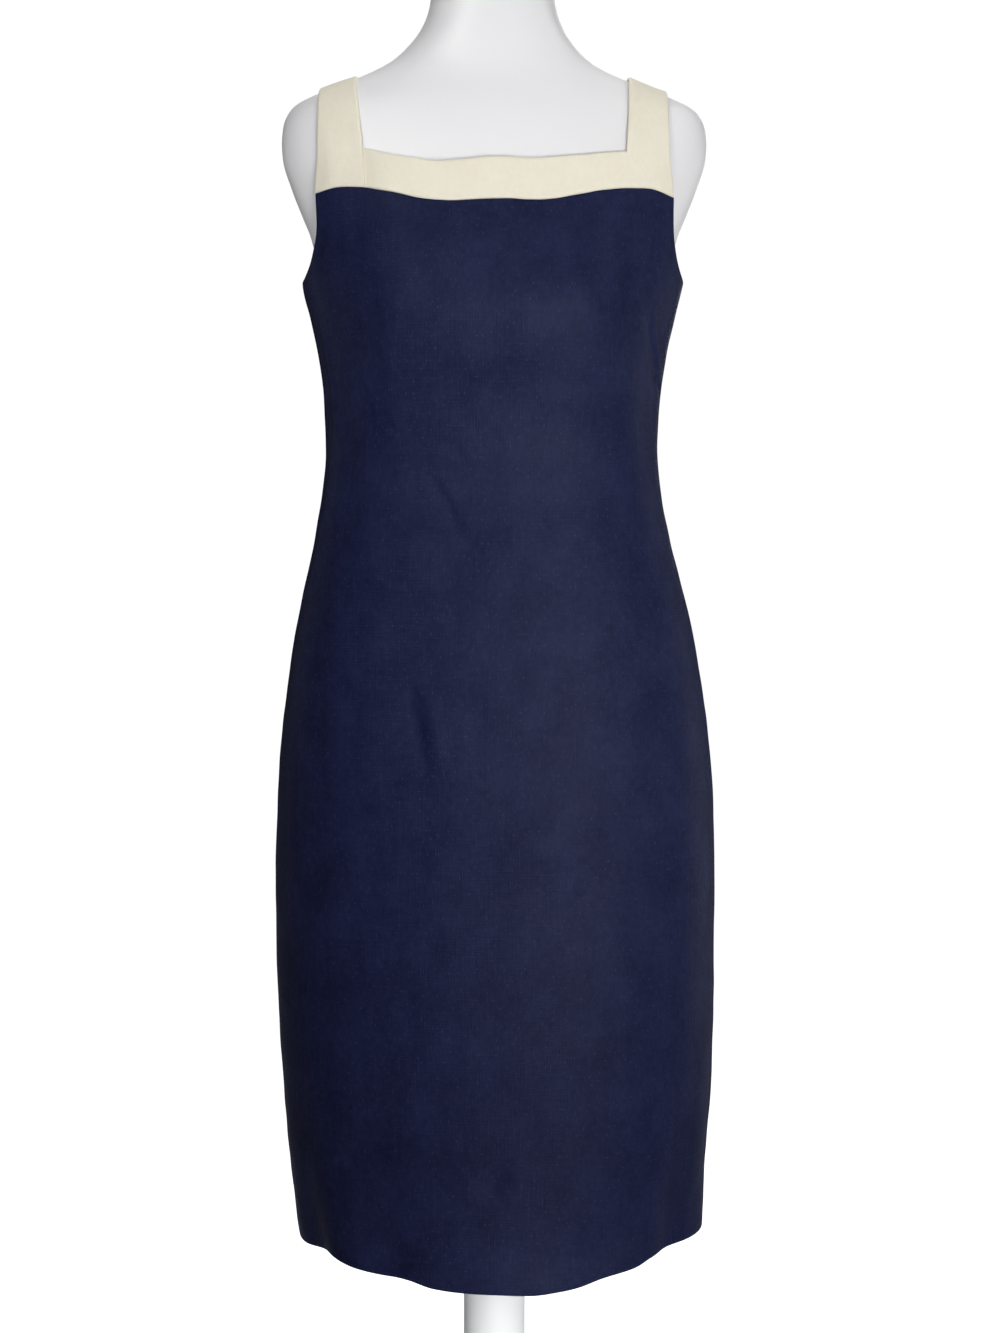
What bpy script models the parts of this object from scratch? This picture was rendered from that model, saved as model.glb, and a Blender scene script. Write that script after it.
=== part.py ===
"""Sheath dress on a limbless dress form: navy linen panels, a cream linen square-neck band and straps.

Metres, +Z up. The origin is the middle of the base's underside, on the floor. The front faces -Y, and "left"
and "right" are a viewer's, so right is +X. Every sheet of cloth is an open surface in its real place, given
its thickness inwards, and its neighbours' edges keep SEAM_GAP from it.
"""

import math
from collections import namedtuple

import bmesh
import bpy
from mathutils import Vector

# Driving dimensions
NAVY_CLOTH = 0.0014
CREAM_CLOTH = 0.0018
SEAM_GAP = 0.0003
UNDERARM = 1.2525
HEM = 0.430
HEM_BLEND = 0.180
SLIT_LENGTH = 0.160
SLIT_HALF_OPENING = 0.0035
TORSO_ROW = 0.030
POLE_RADIUS = 0.0265
BASE_RADIUS = 0.190
BASE_THICKNESS = 0.008
EDGE_BREAK = 0.002
FLANGE_RADIUS = 0.060
FLANGE_THICKNESS = 0.012
FLANGE_BREAK = 0.003
COLLAR_TOP = 0.040
COLLAR_TOP_RADIUS = 0.034
COLLAR_FOOT_RADIUS = 0.046
SHOULDER_HEIGHTS = (1.38, 1.47)
DRESS_ROUNDNESS = 2.3
FORM_ROUNDNESS = 2.2

# The dress, level by level: half its width to each side, and its depth to the front and to the back.
Section = namedtuple("Section", "height left right front back")
DRESS_SECTIONS = (
    Section(0.4300, 0.1685, 0.1792, 0.1300, 0.1270),
    Section(0.4800, 0.1750, 0.1813, 0.1280, 0.1275),
    Section(0.5500, 0.1808, 0.1866, 0.1255, 0.1290),
    Section(0.6200, 0.1855, 0.1892, 0.1235, 0.1310),
    Section(0.6900, 0.1880, 0.1899, 0.1215, 0.1335),
    Section(0.7600, 0.1887, 0.1899, 0.1185, 0.1375),
    Section(0.8290, 0.1855, 0.1872, 0.1145, 0.1415),
    Section(0.8800, 0.1813, 0.1826, 0.1115, 0.1400),
    Section(0.9330, 0.1744, 0.1747, 0.1075, 0.1300),
    Section(0.9840, 0.1648, 0.1641, 0.1045, 0.1130),
    Section(1.0360, 0.1539, 0.1508, 0.0995, 0.0965),
    Section(1.0700, 0.1481, 0.1436, 0.0955, 0.0895),
    Section(1.1130, 0.1442, 0.1395, 0.0930, 0.0850),
    Section(1.1550, 0.1452, 0.1415, 0.0960, 0.0850),
    Section(1.1900, 0.1497, 0.1464, 0.1020, 0.0880),
    Section(1.2235, 0.1563, 0.1543, 0.1055, 0.0920),
    Section(1.2525, 0.1631, 0.1608, 0.1040, 0.0950),
    Section(1.2900, 0.1655, 0.1674, 0.0975, 0.0980),
    Section(1.3240, 0.1714, 0.1728, 0.0910, 0.0965),
    Section(1.3550, 0.1770, 0.1776, 0.0845, 0.0925),
    Section(1.3950, 0.1820, 0.1818, 0.0760, 0.0870),
)

# The dress form, on the same plan, with the same width on both sides.
FORM_SECTIONS = (
    Section(0.7700, 0.1450, 0.1450, 0.0860, 0.1080),
    Section(0.7760, 0.1560, 0.1560, 0.0930, 0.1170),
    Section(0.7950, 0.1680, 0.1680, 0.1010, 0.1280),
    Section(0.8290, 0.1740, 0.1740, 0.1050, 0.1335),
    Section(0.8800, 0.1735, 0.1735, 0.1040, 0.1330),
    Section(0.9330, 0.1670, 0.1670, 0.1005, 0.1235),
    Section(0.9840, 0.1575, 0.1575, 0.0975, 0.1070),
    Section(1.0360, 0.1455, 0.1455, 0.0925, 0.0905),
    Section(1.0700, 0.1385, 0.1385, 0.0885, 0.0835),
    Section(1.1130, 0.1350, 0.1350, 0.0865, 0.0790),
    Section(1.1550, 0.1370, 0.1370, 0.0895, 0.0790),
    Section(1.1900, 0.1410, 0.1410, 0.0955, 0.0820),
    Section(1.2235, 0.1450, 0.1450, 0.0985, 0.0860),
    Section(1.2525, 0.1475, 0.1475, 0.0970, 0.0890),
    Section(1.2915, 0.1558, 0.1558, 0.0905, 0.0915),
    Section(1.3084, 0.1625, 0.1625, 0.0880, 0.0915),
    Section(1.3321, 0.1718, 0.1718, 0.0830, 0.0900),
    Section(1.3591, 0.1798, 0.1798, 0.0765, 0.0865),
    Section(1.3726, 0.1806, 0.1806, 0.0725, 0.0840),
    Section(1.3861, 0.1793, 0.1793, 0.0680, 0.0805),
    Section(1.3996, 0.1732, 0.1732, 0.0630, 0.0755),
    Section(1.4060, 0.1650, 0.1650, 0.0600, 0.0725),
    Section(1.4140, 0.1470, 0.1470, 0.0560, 0.0685),
    Section(1.4296, 0.1075, 0.1075, 0.0510, 0.0640),
    Section(1.4392, 0.0890, 0.0890, 0.0495, 0.0615),
    Section(1.4535, 0.0727, 0.0727, 0.0485, 0.0590),
    Section(1.4669, 0.0625, 0.0625, 0.0478, 0.0568),
    Section(1.4803, 0.0565, 0.0565, 0.0472, 0.0550),
    Section(1.4937, 0.0538, 0.0538, 0.0468, 0.0540),
    Section(1.5360, 0.0530, 0.0530, 0.0462, 0.0530),
    Section(1.5450, 0.0490, 0.0490, 0.0422, 0.0490),
)

# The bust: two wide rounds joined across the middle, the same on the form and, softened, on the dress.
BUST_HEIGHT = 1.228
BUST_OUT = 0.072
BUST_SPREAD = 0.050
BUST_ABOVE = 0.060
BUST_BELOW = 0.090
BUST_DIP = 0.10
DRESS_BUST = 0.0235
FORM_BUST = 0.0215

# Height of the hem round the dress, from the left side seam over the front to the right one and the back.
HemPoint = namedtuple("HemPoint", "degrees height")
HEM_LINE = (
    HemPoint(-180, 0.4400),
    HemPoint(-90, 0.4362),
    HemPoint(-71, 0.4357),
    HemPoint(-57, 0.4366),
    HemPoint(-40, 0.4324),
    HemPoint(-30, 0.4290),
    HemPoint(-22, 0.4281),
    HemPoint(-14, 0.4240),
    HemPoint(-5, 0.4216),
    HemPoint(0, 0.4210),
    HemPoint(8, 0.4198),
    HemPoint(14, 0.4215),
    HemPoint(20, 0.4238),
    HemPoint(38, 0.4345),
    HemPoint(44, 0.4390),
    HemPoint(50, 0.4401),
    HemPoint(57, 0.4420),
    HemPoint(70, 0.4450),
    HemPoint(90, 0.4470),
    HemPoint(180, 0.4400),
)

# Soft folds that run up from the hem: where round the dress, how wide, how deep, and how far up.
Fold = namedtuple("Fold", "degrees spread depth reach")
HEM_FOLDS = (
    Fold(-62, 9.0, 0.0075, 0.22),
    Fold(-29, 8.0, 0.0065, 0.20),
    Fold(2, 9.0, -0.0025, 0.16),
    Fold(27, 8.0, 0.0030, 0.14),
    Fold(55, 9.0, 0.0080, 0.24),
    Fold(78, 8.0, -0.0015, 0.18),
    Fold(118, 10.0, 0.0060, 0.20),
    Fold(150, 9.0, 0.0045, 0.16),
    Fold(-115, 10.0, 0.0065, 0.22),
    Fold(-146, 9.0, 0.0050, 0.18),
)

# Where the side seams run, in degrees from the middle of the front.
SideSeam = namedtuple("SideSeam", "height left right")
SIDE_SEAMS = (
    SideSeam(0.430, 87.0, 79.0),
    SideSeam(0.900, 87.0, 78.5),
    SideSeam(1.080, 88.0, 84.0),
    SideSeam(1.180, 89.0, 88.5),
    SideSeam(UNDERARM, 90.0, 90.0),
)

# The armhole's edge above the underarm: its distance out, as a share of the half-width there.
Armhole = namedtuple("Armhole", "height front back")
ARMHOLE = (
    Armhole(UNDERARM, 1.000, 1.000),
    Armhole(1.2560, 0.978, 0.983),
    Armhole(1.2630, 0.951, 0.960),
    Armhole(1.2740, 0.924, 0.935),
    Armhole(1.2900, 0.897, 0.910),
    Armhole(1.3240, 0.868, 0.870),
    Armhole(1.3950, 0.815, 0.815),
)

# The seam between navy and cream, and the neckline above the band, by distance from the middle.
Line = namedtuple("Line", "out front_seam front_neck back_seam back_neck")
BAND_LINES = (
    Line(-0.150, 1.3222, 1.3600, 1.3215, 1.3600),
    Line(-0.128, 1.3255, 1.3598, 1.3230, 1.3590),
    Line(-0.108, 1.3240, 1.3578, 1.3225, 1.3570),
    Line(-0.093, 1.3208, 1.3535, 1.3215, 1.3550),
    Line(-0.081, 1.3182, 1.3500, 1.3206, 1.3541),
    Line(-0.062, 1.3132, 1.3466, 1.3193, 1.3530),
    Line(-0.045, 1.3110, 1.3438, 1.3185, 1.3525),
    Line(-0.033, 1.3104, 1.3446, 1.3183, 1.3523),
    Line(-0.020, 1.3110, 1.3456, 1.3181, 1.3521),
    Line(0.000, 1.3120, 1.3476, 1.3180, 1.3520),
    Line(0.012, 1.3122, 1.3478, 1.3180, 1.3520),
    Line(0.026, 1.3112, 1.3460, 1.3182, 1.3522),
    Line(0.036, 1.3111, 1.3461, 1.3183, 1.3524),
    Line(0.050, 1.3123, 1.3475, 1.3187, 1.3526),
    Line(0.064, 1.3152, 1.3490, 1.3195, 1.3531),
    Line(0.076, 1.3177, 1.3500, 1.3202, 1.3538),
    Line(0.086, 1.3200, 1.3517, 1.3210, 1.3545),
    Line(0.095, 1.3214, 1.3529, 1.3216, 1.3552),
    Line(0.105, 1.3229, 1.3542, 1.3223, 1.3566),
    Line(0.115, 1.3236, 1.3560, 1.3227, 1.3577),
    Line(0.128, 1.3242, 1.3590, 1.3230, 1.3590),
    Line(0.150, 1.3190, 1.3600, 1.3215, 1.3600),
)

# The straps' edges, by share of the rise from the seam to the top of the shoulder.
StrapEdge = namedtuple("StrapEdge", "rise left_inner left_outer right_inner right_outer")
FRONT_STRAP = (
    StrapEdge(0.00, 0.1060, 0.1498, 0.1190, 0.1500),
    StrapEdge(0.12, 0.1070, 0.1492, 0.1142, 0.1494),
    StrapEdge(0.30, 0.1085, 0.1476, 0.1096, 0.1468),
    StrapEdge(0.60, 0.1116, 0.1474, 0.1111, 0.1458),
    StrapEdge(0.85, 0.1145, 0.1474, 0.1122, 0.1458),
    StrapEdge(1.00, 0.1160, 0.1468, 0.1135, 0.1456),
)
BACK_STRAP = (
    StrapEdge(0.00, 0.1090, 0.1486, 0.1090, 0.1490),
    StrapEdge(0.30, 0.1090, 0.1482, 0.1090, 0.1480),
    StrapEdge(0.60, 0.1116, 0.1478, 0.1111, 0.1466),
    StrapEdge(1.00, 0.1160, 0.1468, 0.1135, 0.1456),
)
NECK_CORNER_RISE = 0.30
BAND_ROWS = 3
HEART_HEIGHT = 1.25
STRAP_OFF_INNER = 0.0
STRAP_OFF_OUTER = 0.0012
BAND_OFF = CREAM_CLOTH + STRAP_OFF_INNER
DRESS_TO_FORM = (1.335, 1.395)


class Curve:
    """A smooth line through known values, which never swings past them."""

    def __init__(self, places, values):
        self.places = list(places)
        self.values = list(values)
        spans = [b - a for a, b in zip(self.places, self.places[1:])]
        rises = [(b - a) / span for a, b, span in zip(self.values, self.values[1:], spans)]
        inner = [0.0 if a * b <= 0 else 2 * a * b / (a + b) for a, b in zip(rises, rises[1:])]
        self.slopes = [rises[0], *inner, rises[-1]]

    def __call__(self, place):
        places = self.places
        place = min(max(place, places[0]), places[-1])
        index = 0
        while index < len(places) - 2 and place > places[index + 1]:
            index += 1
        span = places[index + 1] - places[index]
        t = (place - places[index]) / span
        start, end = self.values[index], self.values[index + 1]
        away, into = self.slopes[index] * span, self.slopes[index + 1] * span
        return (
            start * (1 + 2 * t) * (1 - t) ** 2
            + away * t * (1 - t) ** 2
            + end * t * t * (3 - 2 * t)
            - into * t * t * (1 - t)
        )


def curves(rows):
    """One smooth curve for each column of a table, over its first column."""
    places = [row[0] for row in rows]
    names = rows[0]._fields[1:]
    return {name: Curve(places, [getattr(row, name) for row in rows]) for name in names}


dress = curves(DRESS_SECTIONS)
form = curves(FORM_SECTIONS)
hem_line = curves(HEM_LINE)["height"]
side_seams = curves(SIDE_SEAMS)
armhole = curves(ARMHOLE)
band_lines = curves(BAND_LINES)
front_strap = curves(FRONT_STRAP)
back_strap = curves(BACK_STRAP)


def ease(low, high, value):
    """0 below low, 1 above high, and smooth between."""
    t = min(max((value - low) / (high - low), 0.0), 1.0)
    return t * t * (3 - 2 * t)


def bust(x, z):
    """How far the bust stands out, from 0 to 1."""
    out = abs(x)
    if out < BUST_OUT:
        across = 1 - BUST_DIP * (1 - out / BUST_OUT) ** 2
    else:
        across = math.exp(-(((out - BUST_OUT) / BUST_SPREAD) ** 2))
    reach = BUST_ABOVE if z > BUST_HEIGHT else BUST_BELOW
    return across * math.exp(-(((z - BUST_HEIGHT) / reach) ** 2))


def side_of(x):
    return "left" if x < 0 else "right"


def depth_at(sections, roundness, x, z, back, bust_depth, off=0.0):
    """Y of a body's surface over a place x, z: its front, or its back. off lifts the surface off the body."""
    half_width = sections[side_of(x)](z - off) + off
    depth = sections["back" if back else "front"](z - off) + off
    y = depth * max(0.0, 1 - abs(x / half_width) ** roundness) ** (1 / roundness)
    return y if back else -y - bust_depth * bust(x, z)


def hem_fold(degrees, z):
    """How far the hem's folds draw the cloth in."""
    depth = 0.0
    for fold in HEM_FOLDS:
        up = max(0.0, 1 - (z - HEM) / fold.reach)
        turn = (degrees - fold.degrees) / fold.spread
        depth += fold.depth * up * up * math.exp(-turn * turn)
    return depth


def dress_point(degrees, z):
    """A point of the dress below the band, by its turn from the middle of the front and its height."""
    turn = math.radians(degrees)
    across, ahead = math.sin(turn), math.cos(turn)
    power = 2 / DRESS_ROUNDNESS
    x = dress["left" if across < 0 else "right"](z) * math.copysign(abs(across) ** power, across)
    y = -dress["front" if ahead > 0 else "back"](z) * math.copysign(abs(ahead) ** power, ahead)
    if ahead > 0:
        y -= DRESS_BUST * bust(x, z)
    inwards = 1 - hem_fold(degrees, z) / math.hypot(x, y)
    return Vector((x * inwards, y * inwards, z))


def turn_at(share):
    """The turn in degrees, from the middle, where the dress reaches this share of its half-width."""
    return math.degrees(math.asin(min(1.0, share) ** (DRESS_ROUNDNESS / 2)))


def seam_turn(side, back, z):
    """Turn of a panel's outer edge from its own middle: the side seam, then the armhole above it."""
    if z <= UNDERARM:
        turn = side_seams[side](z)
        return 180 - turn if back else turn
    return turn_at(armhole["back" if back else "front"](z))


def levels(bottom, top, count):
    return [bottom + (top - bottom) * step / count for step in range(count + 1)]


ZIP_BOTTOM_ROW = 12
BODY_ROWS = levels(HEM, 0.60, 6) + levels(0.60, 1.00, 9)[1:] + levels(1.00, UNDERARM, 9)[1:]
UPPER_SHARES = (0.0, 0.10, 0.26, 0.48, 0.74, 1.0)
PANEL_ROWS = len(BODY_ROWS) + len(UPPER_SHARES) - 2


def between(values, row):
    """A list's value at a row, also between two rows."""
    below = min(int(row), len(values) - 2)
    return values[below] + (values[below + 1] - values[below]) * (row - below)


def seam_height(back, x):
    return band_lines["back_seam" if back else "front_seam"](x)


def panel_point(side, back, middle_turn, across, row):
    """A point of a navy panel: across runs from 0 at its middle edge to 1 at its outer edge."""
    sign = -1 if side == "left" else 1

    def turned_point(z):
        start = middle_turn(z)
        edge = seam_turn(side, back, z) - math.degrees(SEAM_GAP / 2 / dress[side](z))
        turn = start + (edge - start) * across
        degrees = sign * ((180 - turn) if back else turn)
        return degrees, dress_point(degrees, z)

    above = row - (len(BODY_ROWS) - 1)
    if above <= 0:
        z = between(BODY_ROWS, row)
        degrees, point = turned_point(z)
        point.z += (hem_line(degrees) - HEM) * (1 - ease(HEM, HEM + HEM_BLEND, z))
        return point
    top = seam_height(back, 0.12)
    for _ in range(6):
        _, point = turned_point(UNDERARM + (top - UNDERARM) * between(UPPER_SHARES, above))
        top = seam_height(back, point.x) - SEAM_GAP / 2
    return point


def slit_turn(z):
    """Turn of a back panel's middle edge: half the seam's gap, and more where the slit parts."""
    half_width = dress["right"](z)
    parted = max(0.0, 1 - (z - HEM) / SLIT_LENGTH)
    return turn_at((SEAM_GAP / 2 + SLIT_HALF_OPENING * parted**1.5) / half_width)


def no_turn(_z):
    return 0.0


def strap_table(back):
    return back_strap if back else front_strap


def shoulder_top(x, off):
    """Height of the form's shoulder line over x, lifted by off."""
    low, high = SHOULDER_HEIGHTS
    for _ in range(40):
        middle = (low + high) / 2
        if form["left"](middle - off) + off > abs(x):
            low = middle
        else:
            high = middle
    return low


def upper_depth(x, z, back, off):
    """Y of band and straps: the dress's surface low down, and the form's, lifted by off, on the shoulder."""
    on_dress = depth_at(dress, DRESS_ROUNDNESS, x, z, back, DRESS_BUST)
    on_form = depth_at(form, FORM_ROUNDNESS, x, z, back, FORM_BUST, off)
    share = ease(*DRESS_TO_FORM, z)
    return on_dress + (on_form - on_dress) * share


def strap_point(side, across, degrees, edge_gap=0.0):
    """A point of a strap: across runs from its inner to its outer edge, degrees from -90 at the front seam."""
    back = degrees > 0
    table = strap_table(back)
    rise = math.cos(math.radians(degrees))
    inner = table[side + "_inner"](rise) + edge_gap
    outer = table[side + "_outer"](rise)
    x = (-1 if side == "left" else 1) * (inner + (outer - inner) * across)
    off = BAND_OFF + (STRAP_OFF_OUTER - STRAP_OFF_INNER) * across
    seam = seam_height(back, x) + SEAM_GAP / 2
    top = shoulder_top(x, off)
    z = seam + (top - seam) * rise
    y = 0.0 if rise > 1 - 1e-9 else upper_depth(x, z, back, off)
    return Vector((x, y, z))


def band_point(back, from_x, to_x, along, up):
    """A point of the band, between two edges given as functions of the share of its height."""
    x = from_x(up) + (to_x(up) - from_x(up)) * along
    low = seam_height(back, x) + SEAM_GAP / 2
    high = band_lines["back_neck" if back else "front_neck"](x)
    z = low + (high - low) * up
    return Vector((x, upper_depth(x, z, back, BAND_OFF), z))


def strap_side(side, back):
    """The band's end against a strap's inner edge."""
    inner = strap_table(back)[side + "_inner"]
    sign = -1 if side == "left" else 1

    def x_at(up):
        return sign * (inner(up * NECK_CORNER_RISE) - SEAM_GAP / 2)

    return x_at


def material(name, colour, roughness, metallic=0.0):
    made = bpy.data.materials.new(name)
    made.use_nodes = True
    shader = made.node_tree.nodes["Principled BSDF"]
    shader.inputs["Base Color"].default_value = (*colour, 1.0)
    shader.inputs["Roughness"].default_value = roughness
    shader.inputs["Metallic"].default_value = metallic
    return made


def navy_linen(name):
    return material(name + "_navy_linen", (0.021, 0.026, 0.072), 0.85)


def cream_linen(name):
    return material(name + "_cream_linen", (0.74, 0.70, 0.58), 0.85)


def add_object(name, mesh, finish):
    made = bpy.data.objects.new(name, mesh)
    mesh.materials.append(finish)
    parts.objects.link(made)
    return made


def finish_mesh(name, work):
    mesh = bpy.data.meshes.new(name)
    work.to_mesh(mesh)
    work.free()
    mesh.shade_smooth()
    return mesh


def lifted(place, columns, rows, column, row, distance):
    """The point of a surface at a column and row of its grid, moved out along the surface's own normal."""
    step = 0.05
    spot = place(column, row)
    along = place(min(column + step, columns), row) - place(max(column - step, 0), row)
    up = place(column, min(row + step, rows)) - place(column, max(row - step, 0))
    normal = along.cross(up).normalized()
    heart = Vector((0.0, 0.0, min(spot.z, HEART_HEIGHT)))
    if normal.dot(spot - heart) < 0:
        normal.negate()
    return spot + normal * distance


def cloth(name, columns, rows, thickness, place, finish):
    """A sheet of cloth: a flat grid doubled into a slab, its top laid on the surface and its bottom inside."""
    work = bmesh.new()
    bmesh.ops.create_grid(work, x_segments=columns, y_segments=rows, size=0.5)
    inner = bmesh.ops.extrude_face_region(work, geom=work.faces[:], use_keep_orig=True)["geom"]
    inner_verts = {item for item in inner if isinstance(item, bmesh.types.BMVert)}
    for vert in work.verts:
        column = round((vert.co.x + 0.5) * columns)
        row = round((vert.co.y + 0.5) * rows)
        inwards = thickness if vert in inner_verts else 0.0
        vert.co = lifted(place, columns, rows, column, row, -inwards)
    bmesh.ops.recalc_face_normals(work, faces=work.faces)
    if work.calc_volume(signed=True) < 0:
        bmesh.ops.reverse_faces(work, faces=work.faces)
    return add_object(name, finish_mesh(name, work), finish(name))


def make_front_panel():
    half = 15

    def place(column, row):
        side = "left" if column < half else "right"
        return panel_point(side, False, no_turn, abs(column - half) / half, row)

    cloth("front_panel", 2 * half, PANEL_ROWS, NAVY_CLOTH, place, navy_linen)


def make_back_panel(side):
    columns = 14

    def place(column, row):
        return panel_point(side, True, slit_turn, column / columns, row)

    cloth("back_panel_" + side, columns, PANEL_ROWS, NAVY_CLOTH, place, navy_linen)


def make_front_band():
    columns, rows = 22, BAND_ROWS
    left, right = strap_side("left", False), strap_side("right", False)

    def place(column, row):
        return band_point(False, left, right, column / columns, row / rows)

    cloth("front_band", columns, rows, CREAM_CLOTH, place, cream_linen)


def make_back_band(side):
    columns, rows = 11, BAND_ROWS
    outer = strap_side(side, True)

    def middle(_up):
        return (-1 if side == "left" else 1) * SEAM_GAP / 2

    def place(column, row):
        return band_point(True, middle, outer, column / columns, row / rows)

    cloth("back_band_" + side, columns, rows, CREAM_CLOTH, place, cream_linen)


def strap_turns():
    """The strap's rows in degrees from the shoulder's top: the band's own rows first, so their edges match."""
    corner = -math.degrees(math.acos(NECK_CORNER_RISE))
    low = [-math.degrees(math.acos(NECK_CORNER_RISE * row / BAND_ROWS)) for row in range(BAND_ROWS)]
    front = low + levels(corner, 0.0, 9)
    return front + [-turn for turn in reversed(front[:-1])]


def make_strap(side):
    columns = 5
    turns = strap_turns()
    rows = len(turns) - 1

    def place(column, row):
        return strap_point(side, column / columns, between(turns, row), SEAM_GAP / 2)

    cloth("strap_" + side, columns, rows, CREAM_CLOTH, place, cream_linen)


def make_torso():
    around = 36
    heights = [FORM_SECTIONS[0].height]
    for section in FORM_SECTIONS[1:]:
        steps = math.ceil((section.height - heights[-1]) / TORSO_ROW)
        heights += levels(heights[-1], section.height, steps)[1:]
    rows = len(heights) - 1
    work = bmesh.new()
    bmesh.ops.create_grid(work, x_segments=around, y_segments=rows, size=0.5)
    for vert in work.verts:
        turn = math.tau * round((vert.co.x + 0.5) * around) / around
        z = heights[round((vert.co.y + 0.5) * rows)]
        power = 2 / FORM_ROUNDNESS
        across, ahead = math.sin(turn), math.cos(turn)
        x = form["left"](z) * math.copysign(abs(across) ** power, across)
        y = -form["front" if ahead > 0 else "back"](z) * math.copysign(abs(ahead) ** power, ahead)
        if ahead > 0:
            y -= FORM_BUST * bust(x, z)
        vert.co = (x, y, z)
    bmesh.ops.remove_doubles(work, verts=work.verts, dist=1e-6)
    bmesh.ops.holes_fill(work, edges=[edge for edge in work.edges if edge.is_boundary], sides=0)
    bmesh.ops.recalc_face_normals(work, faces=work.faces)
    mesh = finish_mesh("form_torso", work)
    mesh.set_sharp_from_angle(angle=math.radians(50))
    add_object("form_torso", mesh, material("smooth_white_shell", (0.80, 0.79, 0.80), 0.45))


def turned(name, profile, finish, around=40):
    """A piece turned about the upright axis: its outline in radius and height, down the outer side first."""
    work = bmesh.new()
    points = [work.verts.new((radius, 0.0, height)) for radius, height in profile]
    loop = [*points, points[0]] if profile[0][0] > 0 else points
    for start, end in zip(loop, loop[1:]):
        work.edges.new((start, end))
    mesh = finish_mesh(name, work)
    made = add_object(name, mesh, finish)
    screw = made.modifiers.new("turn", "SCREW")
    screw.steps = around
    screw.render_steps = around
    screw.use_merge_vertices = True
    screw.merge_threshold = 0.00001
    screw.use_smooth_shade = False
    return made


def make_stand():
    pale_metal = material("painted_pole", (0.78, 0.79, 0.80), 0.40)
    base_metal = material("painted_base", (0.76, 0.77, 0.78), 0.45)
    flange_metal = material("painted_flange", (0.78, 0.79, 0.80), 0.45)
    collar_metal = material("painted_collar", (0.78, 0.79, 0.80), 0.40)
    flange_top = FORM_SECTIONS[0].height - SEAM_GAP
    flange_bottom = flange_top - FLANGE_THICKNESS
    turned(
        "form_flange",
        [(0.0, flange_top), (FLANGE_RADIUS, flange_top), (FLANGE_RADIUS, flange_bottom + FLANGE_BREAK),
         (FLANGE_RADIUS - FLANGE_BREAK, flange_bottom), (0.0, flange_bottom)],
        flange_metal,
    )
    pole_top = flange_bottom - SEAM_GAP
    pole_bottom = BASE_THICKNESS + SEAM_GAP
    turned(
        "form_pole",
        [(0.0, pole_top), (POLE_RADIUS, pole_top), (POLE_RADIUS, pole_bottom), (0.0, pole_bottom)],
        pale_metal,
    )
    collar_inner = POLE_RADIUS + SEAM_GAP
    turned(
        "form_base_collar",
        [(collar_inner, COLLAR_TOP), (COLLAR_TOP_RADIUS - EDGE_BREAK, COLLAR_TOP),
         (COLLAR_TOP_RADIUS, COLLAR_TOP - 1.5 * EDGE_BREAK),
         (COLLAR_FOOT_RADIUS - EDGE_BREAK, pole_bottom + 2 * EDGE_BREAK),
         (COLLAR_FOOT_RADIUS, pole_bottom), (collar_inner, pole_bottom)],
        collar_metal,
    )
    turned(
        "form_base",
        [(0.0, BASE_THICKNESS), (BASE_RADIUS - EDGE_BREAK, BASE_THICKNESS),
         (BASE_RADIUS, BASE_THICKNESS - EDGE_BREAK), (BASE_RADIUS, 0.0), (0.0, 0.0)],
        base_metal,
        around=64,
    )


# The zip: a tape inside the centre-back seam, and a slider and pull at its top, outside the cloth.
TAPE_WIDTH = 0.022
TAPE_THICKNESS = 0.001
TAPE_EASE = 0.0002
SLIDER_WIDTH = 0.006
SLIDER_LENGTH = 0.009
SLIDER_THICKNESS = 0.0016
SLIDER_CLEARANCE = 0.0001
SLIDER_ROUNDING = 0.0006
ARCH_WIDTH = 0.0016
ARCH_LENGTH = 0.0056
ARCH_WINDOW = (0.0032, 0.0018)
ARCH_WALL = 0.0008
PULL_WIDTH = 0.0046
PULL_LENGTH = 0.022
PULL_THICKNESS = 0.0010
PULL_BAR = 0.0009
PULL_WINDOW = (0.0026, 0.0052)
SLIDER_TOP = 1.3495


def back_middle(z):
    return upper_depth(0.0, z, True, BAND_OFF)


def make_zip_tape():
    """The tape follows the rows of the panels and bands that it lies under."""
    band = seam_height(True, 0.0)
    heights = BODY_ROWS[ZIP_BOTTOM_ROW:] + [UNDERARM + (band - UNDERARM) * share for share in UPPER_SHARES[1:]]
    heights += levels(band, SLIDER_TOP, BAND_ROWS)[1:]
    columns, rows = 2, len(heights) - 1

    def on_cloth(column, row):
        z = between(heights, row)
        x = TAPE_WIDTH * (column / columns - 0.5)
        return Vector((x, upper_depth(x, z, True, BAND_OFF), z))

    def place(column, row):
        under_band = ease(band - 0.030, band - 0.010, on_cloth(column, row).z)
        cover = NAVY_CLOTH + (CREAM_CLOTH - NAVY_CLOTH) * under_band
        return lifted(on_cloth, columns, rows, column, row, -cover - SEAM_GAP - TAPE_EASE)

    cloth("zip_tape", columns, rows, TAPE_THICKNESS, place, navy_linen)


def box(size, middle):
    work = bmesh.new()
    bmesh.ops.create_cube(work, size=1.0)
    bmesh.ops.scale(work, vec=size, verts=work.verts)
    bmesh.ops.translate(work, vec=middle, verts=work.verts)
    return work


def slider_frame():
    """Where the slider lies on the cloth: a point, the way out of the cloth, and how far the cloth leans."""
    middle = SLIDER_TOP - SLIDER_LENGTH / 2
    reach = 0.004
    upper, lower = back_middle(middle + reach), back_middle(middle - reach)
    lean = math.atan2(lower - upper, 2 * reach)
    out = Vector((0.0, math.cos(lean), math.sin(lean)))
    return Vector((0.0, back_middle(middle), middle)) + out * (SEAM_GAP + SLIDER_CLEARANCE), out, lean


def cutter(name, work):
    made = bpy.data.objects.new(name, finish_mesh(name, work))
    made.hide_render = True
    made.display_type = "WIRE"
    cutters.objects.link(made)
    return made


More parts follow.
